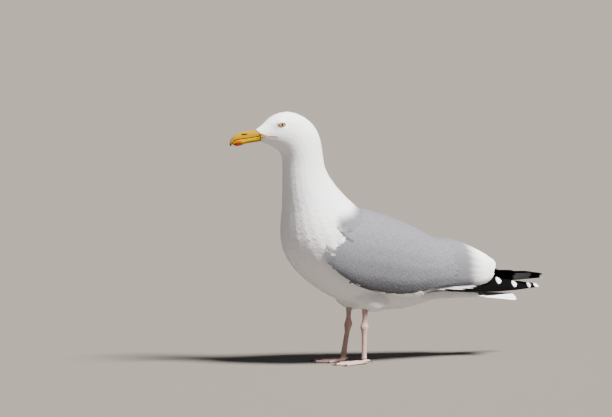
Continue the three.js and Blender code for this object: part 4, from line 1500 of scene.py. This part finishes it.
def eye_ball(name, side, material):
    turn = np.linspace(0, 2 * math.pi, 48, endpoint=False)
    slope = np.linspace(0.02, math.pi * 0.62, 26)[:, None]
    radius = EYE["radius"] * np.sin(slope) + 0 * turn
    x, z = EYE["x"] + radius * np.cos(turn), EYE["z"] + radius * np.sin(turn)
    y = BALL_Y + EYE["radius"] * np.cos(slope) + 0 * turn
    quads = loop_quads(*radius.shape)
    obj = piece(f"eye_ball_{name}", np.stack([x, side * y, z], -1).reshape(-1, 3),
                quads if side == LEFT else quads[:, ::-1], material)
    give(obj, "away", (radius * MM).ravel())
    give_map(obj, disc_map(slope / slope[-1], turn, 0.48))
    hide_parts(f"eye_{name}")


def eyes():
    ball, ring = eye_material(), lid_material()
    for name, side in SIDES.items():
        eye_ball(name, side, ball)
        obj, _, grow = round_eye(f"eye_ring_{name}", side, RING_ROWS, ring)
        give(obj, "inner", np.interp(grow, [0.0, 0.15], [1.0, 0.0]))
        obj, points, _ = round_eye(f"eyelid_{name}", side, LID_ROWS, skin.data.materials[0])
        give(obj, "marking", body_colour(points))


# ---------------------------------------------------------------- legs, feet and claws
FOOT_X = {LEFT: 4.5, RIGHT: -4.8}  # where each leg meets its foot
HIP_Y = 29
ANKLE = (5.0, 62.0)
SCUTE_STEP = 3.3  # between the broad scales down the leg's front
TOE_STEP = 2.6  # between the scales along the toes


def leg_material():
    n = Nodes("leg_scales")
    cells = n.add("ShaderNodeTexVoronoi", {"Scale": 620.0, "Vector": n.place()}, feature="DISTANCE_TO_EDGE")
    edge = n.between(cells.outputs["Distance"], 0.0, 0.16)
    scute = n.value("scute")
    base = n.turning((0.45, 0.305, 0.27), (0.33, 0.215, 0.195), n.noise(70, 4), 0.35, 0.7, 0.55)
    lined = n.mix(n.math("MULTIPLY", n.between(edge, 0.0, 0.5, 1.0, 0.0), 0.35), base, (0.26, 0.16, 0.14))
    lined = n.mix(n.math("MULTIPLY", scute, 0.6), lined, (0.24, 0.14, 0.12))
    n.set(Base_Color=n.mix(n.value("web"), lined, (0.42, 0.26, 0.24)))
    n.set(Roughness=0.5, Specular_IOR_Level=0.4, Subsurface_Weight=0.05, Subsurface_Scale=0.002)
    n.bump(n.math("SUBTRACT", edge, n.math("MULTIPLY", scute, 1.5)), 0.35, 0.0003)
    return n.material


def groove(share, width):
    """1 in the middle of each repeat, and 0 away from it."""
    return np.exp(-((share % 1 - 0.5) / width) ** 2)


def leg_marks(points, normals, side):
    """Where a leg has grooves between its scales, and where the feet have webs."""
    x, y, z = points.T
    leg = np.clip((z - 9) / 4, 0, 1)
    front = np.clip((-normals[:, 0] - 0.25) / 0.5, 0, 1)
    scute = leg * front * groove(z / SCUTE_STEP, 0.13) * (z < 84)
    reach = np.hypot(x - FOOT_X[side], y - side * HIP_Y)
    toe = (1 - leg) * np.clip((z - 2.2) / 0.8, 0, 1) * (normals[:, 2] > 0.25)
    scute = np.maximum(scute, toe * groove(reach / TOE_STEP, 0.16) * (reach > 6))
    web = (1 - leg) * np.clip((2.4 - z) / 0.6, 0, 1) * (np.abs(normals[:, 2]) > 0.8)
    return scute, web


def legs():
    material, horn = leg_material(), claw_material()
    for name, side in SIDES.items():
        nodes = [f"shank_{name}", f"tarsus_{name}", f"foot_{name}"]
        solids = [node_mesh(node) for node in nodes] + [bridge(side)]
        points, quads = remeshed(joined(solids), VOXEL["leg"], 4)
        normals = point_normals(points, as_triangles(quads))
        scute, web = leg_marks(points, normals, side)
        knob = 1.1 * np.exp(-((points[:, 2] - ANKLE[1]) / 5.5) ** 2) * (1 - 0.4 * np.abs(normals[:, 1]))
        points = points + normals * (knob - 0.32 * scute)[:, None]
        points[:, 2] = np.maximum(points[:, 2], 0)
        obj = piece(f"leg_skin_{name}", points, quads, material)
        give(obj, "scute", scute)
        give(obj, "web", web * 0.7)
        give_map(obj, leg_map(points, normals, FOOT_X[side], side))
        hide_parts(*nodes)
        for toe in ("inner", "middle", "outer", "hind"):
            node = f"claw_{name}_{toe}"
            points, quads = remeshed(node_mesh(node), VOXEL["claw"], 3)
            obj = piece(node + "_horn", points, quads, horn)
            give_map(obj, box_map(points, point_normals(points, as_triangles(quads))))
            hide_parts(node)


def bridge(side):
    """Fills the thin cuts between a leg's lengths, so that its skin is whole."""
    # Each ring's x, z and its half widths in x and y.
    rings = np.array([
        (ANKLE[0], 66.0, 4.6, 3.9), (ANKLE[0], 58.0, 4.6, 3.9),
        (FOOT_X[side], 12.0, 3.9, 3.3), (FOOT_X[side], 6.0, 3.9, 3.6),
    ])
    around = 16
    turn = np.linspace(0, 2 * math.pi, around, endpoint=False)
    x, z, long, wide = (rings[:, k, None] for k in range(4))
    wall = np.stack([x + long * np.cos(turn), side * HIP_Y + wide * np.sin(turn), z + 0 * turn], -1)
    ends = [(rings[k, 0], side * HIP_Y, rings[k, 1]) for k in (0, -1)]
    count = len(rings) * around
    rim = np.arange(around)
    beside = (rim + 1) % around
    top = np.stack([rim, np.full(around, count), beside], 1)
    last = count - around
    low = np.stack([last + rim, last + beside, np.full(around, count + 1)], 1)
    sides = as_triangles(loop_quads(len(rings), around))[:, ::-1]
    return np.vstack([wall.reshape(-1, 3), ends]), np.vstack([sides, top, low])


def leg_map(points, normals, foot_x, side):
    """Unrolls the leg on the map's left and lays the foot's top and underside on its right."""
    x, y, z = points.T
    turn = np.arctan2(y - side * HIP_Y, x - ANKLE[0]) / (2 * math.pi) + 0.5
    leg = np.stack([0.02 + 0.3 * turn, 0.02 + 0.96 * np.clip(z / 96, 0, 1)], 1)
    under = (normals[:, 2] < 0).astype(float)
    foot = np.stack([0.36 + 0.6 * np.clip((x - foot_x + 62) / 78, 0, 1),
                     0.02 + 0.46 * np.clip((y - side * HIP_Y + 26) / 52, 0, 1) + 0.5 * under], 1)
    return np.where((z > 9)[:, None], leg, foot)


def claw_material():
    n = Nodes("claw_horn")
    grain = n.noise(500, 4)
    n.set(Base_Color=n.turning((0.022, 0.018, 0.016), (0.06, 0.045, 0.038), grain, 0.3, 0.7, 0.6))
    n.set(Roughness=0.38, Specular_IOR_Level=0.5)
    n.bump(grain, 0.2, 0.0002)
    return n.material


SHEETS = {side: Sheet(side) for side in (LEFT, RIGHT)}
tertial_feathers(SHEETS)
secondaries = secondary_feathers(SHEETS)
wing_coverts(SHEETS)
primaries = primary_feathers()
tail = tail_feathers()
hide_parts("secondaries_left", "secondaries_right")
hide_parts("primaries_left", "primaries_right")
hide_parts("tail")
UPPER_AND_LOWER = bill_material()
bill_piece("bill_upper", UPPER_AND_LOWER)
bill_piece("bill_lower", UPPER_AND_LOWER)
rictus_skin(UPPER_AND_LOWER)
gapes()
eyes()
legs()


# ---------------------------------------------------------------- stage
CAMERA = {"azimuth": -27.0, "elevation": 5.0, "away": 24.0, "across": 1.0098}
CAMERA_AIM = {"right": -78.5, "up": 254.5}  # the picture's middle, in the camera's own directions
FLOOR_HALF = 40
# The lamps: azimuth, elevation, strength, the light's width in degrees, and colour.
LAMPS = {
    "key": (-60, 55, 17.5, 16, (1.0, 0.97, 0.93)),
    "fill": (-150, 25, 0.2, 60, (0.85, 0.9, 1.0)),
}
SKY = {"colour": (0.80, 0.86, 1.0, 1), "strength": 0.15}


def camera():
    turn, tilt = math.radians(CAMERA["azimuth"]), math.radians(CAMERA["elevation"])
    right = np.array([math.cos(turn), math.sin(turn), 0])
    ahead = np.array([-math.sin(turn) * math.cos(tilt), math.cos(turn) * math.cos(tilt), -math.sin(tilt)])
    up = np.cross(right, ahead)
    aim = place(right * CAMERA_AIM["right"] + up * CAMERA_AIM["up"])
    data = bpy.data.cameras.new("camera")
    data.sensor_width = 36
    data.lens = data.sensor_width * CAMERA["away"] / CAMERA["across"]
    data.clip_end = 200
    obj = link("camera", data)
    obj.location = aim - ahead * CAMERA["away"]
    obj.rotation_euler = Vector(ahead).to_track_quat("-Z", "Y").to_euler()
    bpy.context.scene.camera = obj


def floor():
    corners = FLOOR_HALF * np.array([(-1, -1, 0), (1, -1, 0), (1, 1, 0), (-1, 1, 0)])
    mesh = new_mesh("floor", corners, np.array([[0, 1, 2, 3]]))
    n = Nodes("floor_paper")
    n.set(Base_Color=n.turning((0.128, 0.112, 0.098), (0.115, 0.101, 0.088), n.noise(30, 4), 0.3, 0.7, 0.06))
    n.set(Roughness=0.9)
    mesh.materials.append(n.material)
    link("floor", mesh)


def light():
    for name, (azimuth, elevation, strength, width, colour) in LAMPS.items():
        data = bpy.data.lights.new(name, "SUN")
        data.energy = strength
        data.angle = math.radians(width)
        data.color = colour
        a, e = math.radians(azimuth), math.radians(elevation)
        ahead = -Vector((math.cos(a) * math.cos(e), math.sin(a) * math.cos(e), math.sin(e)))
        link(name, data).rotation_euler = ahead.to_track_quat("-Z", "Y").to_euler()
    world = bpy.data.worlds.new("studio")
    world.use_nodes = True
    sky = world.node_tree.nodes["Background"]
    sky.inputs["Color"].default_value = SKY["colour"]
    sky.inputs["Strength"].default_value = SKY["strength"]
    bpy.context.scene.world = world


camera()
floor()
light()
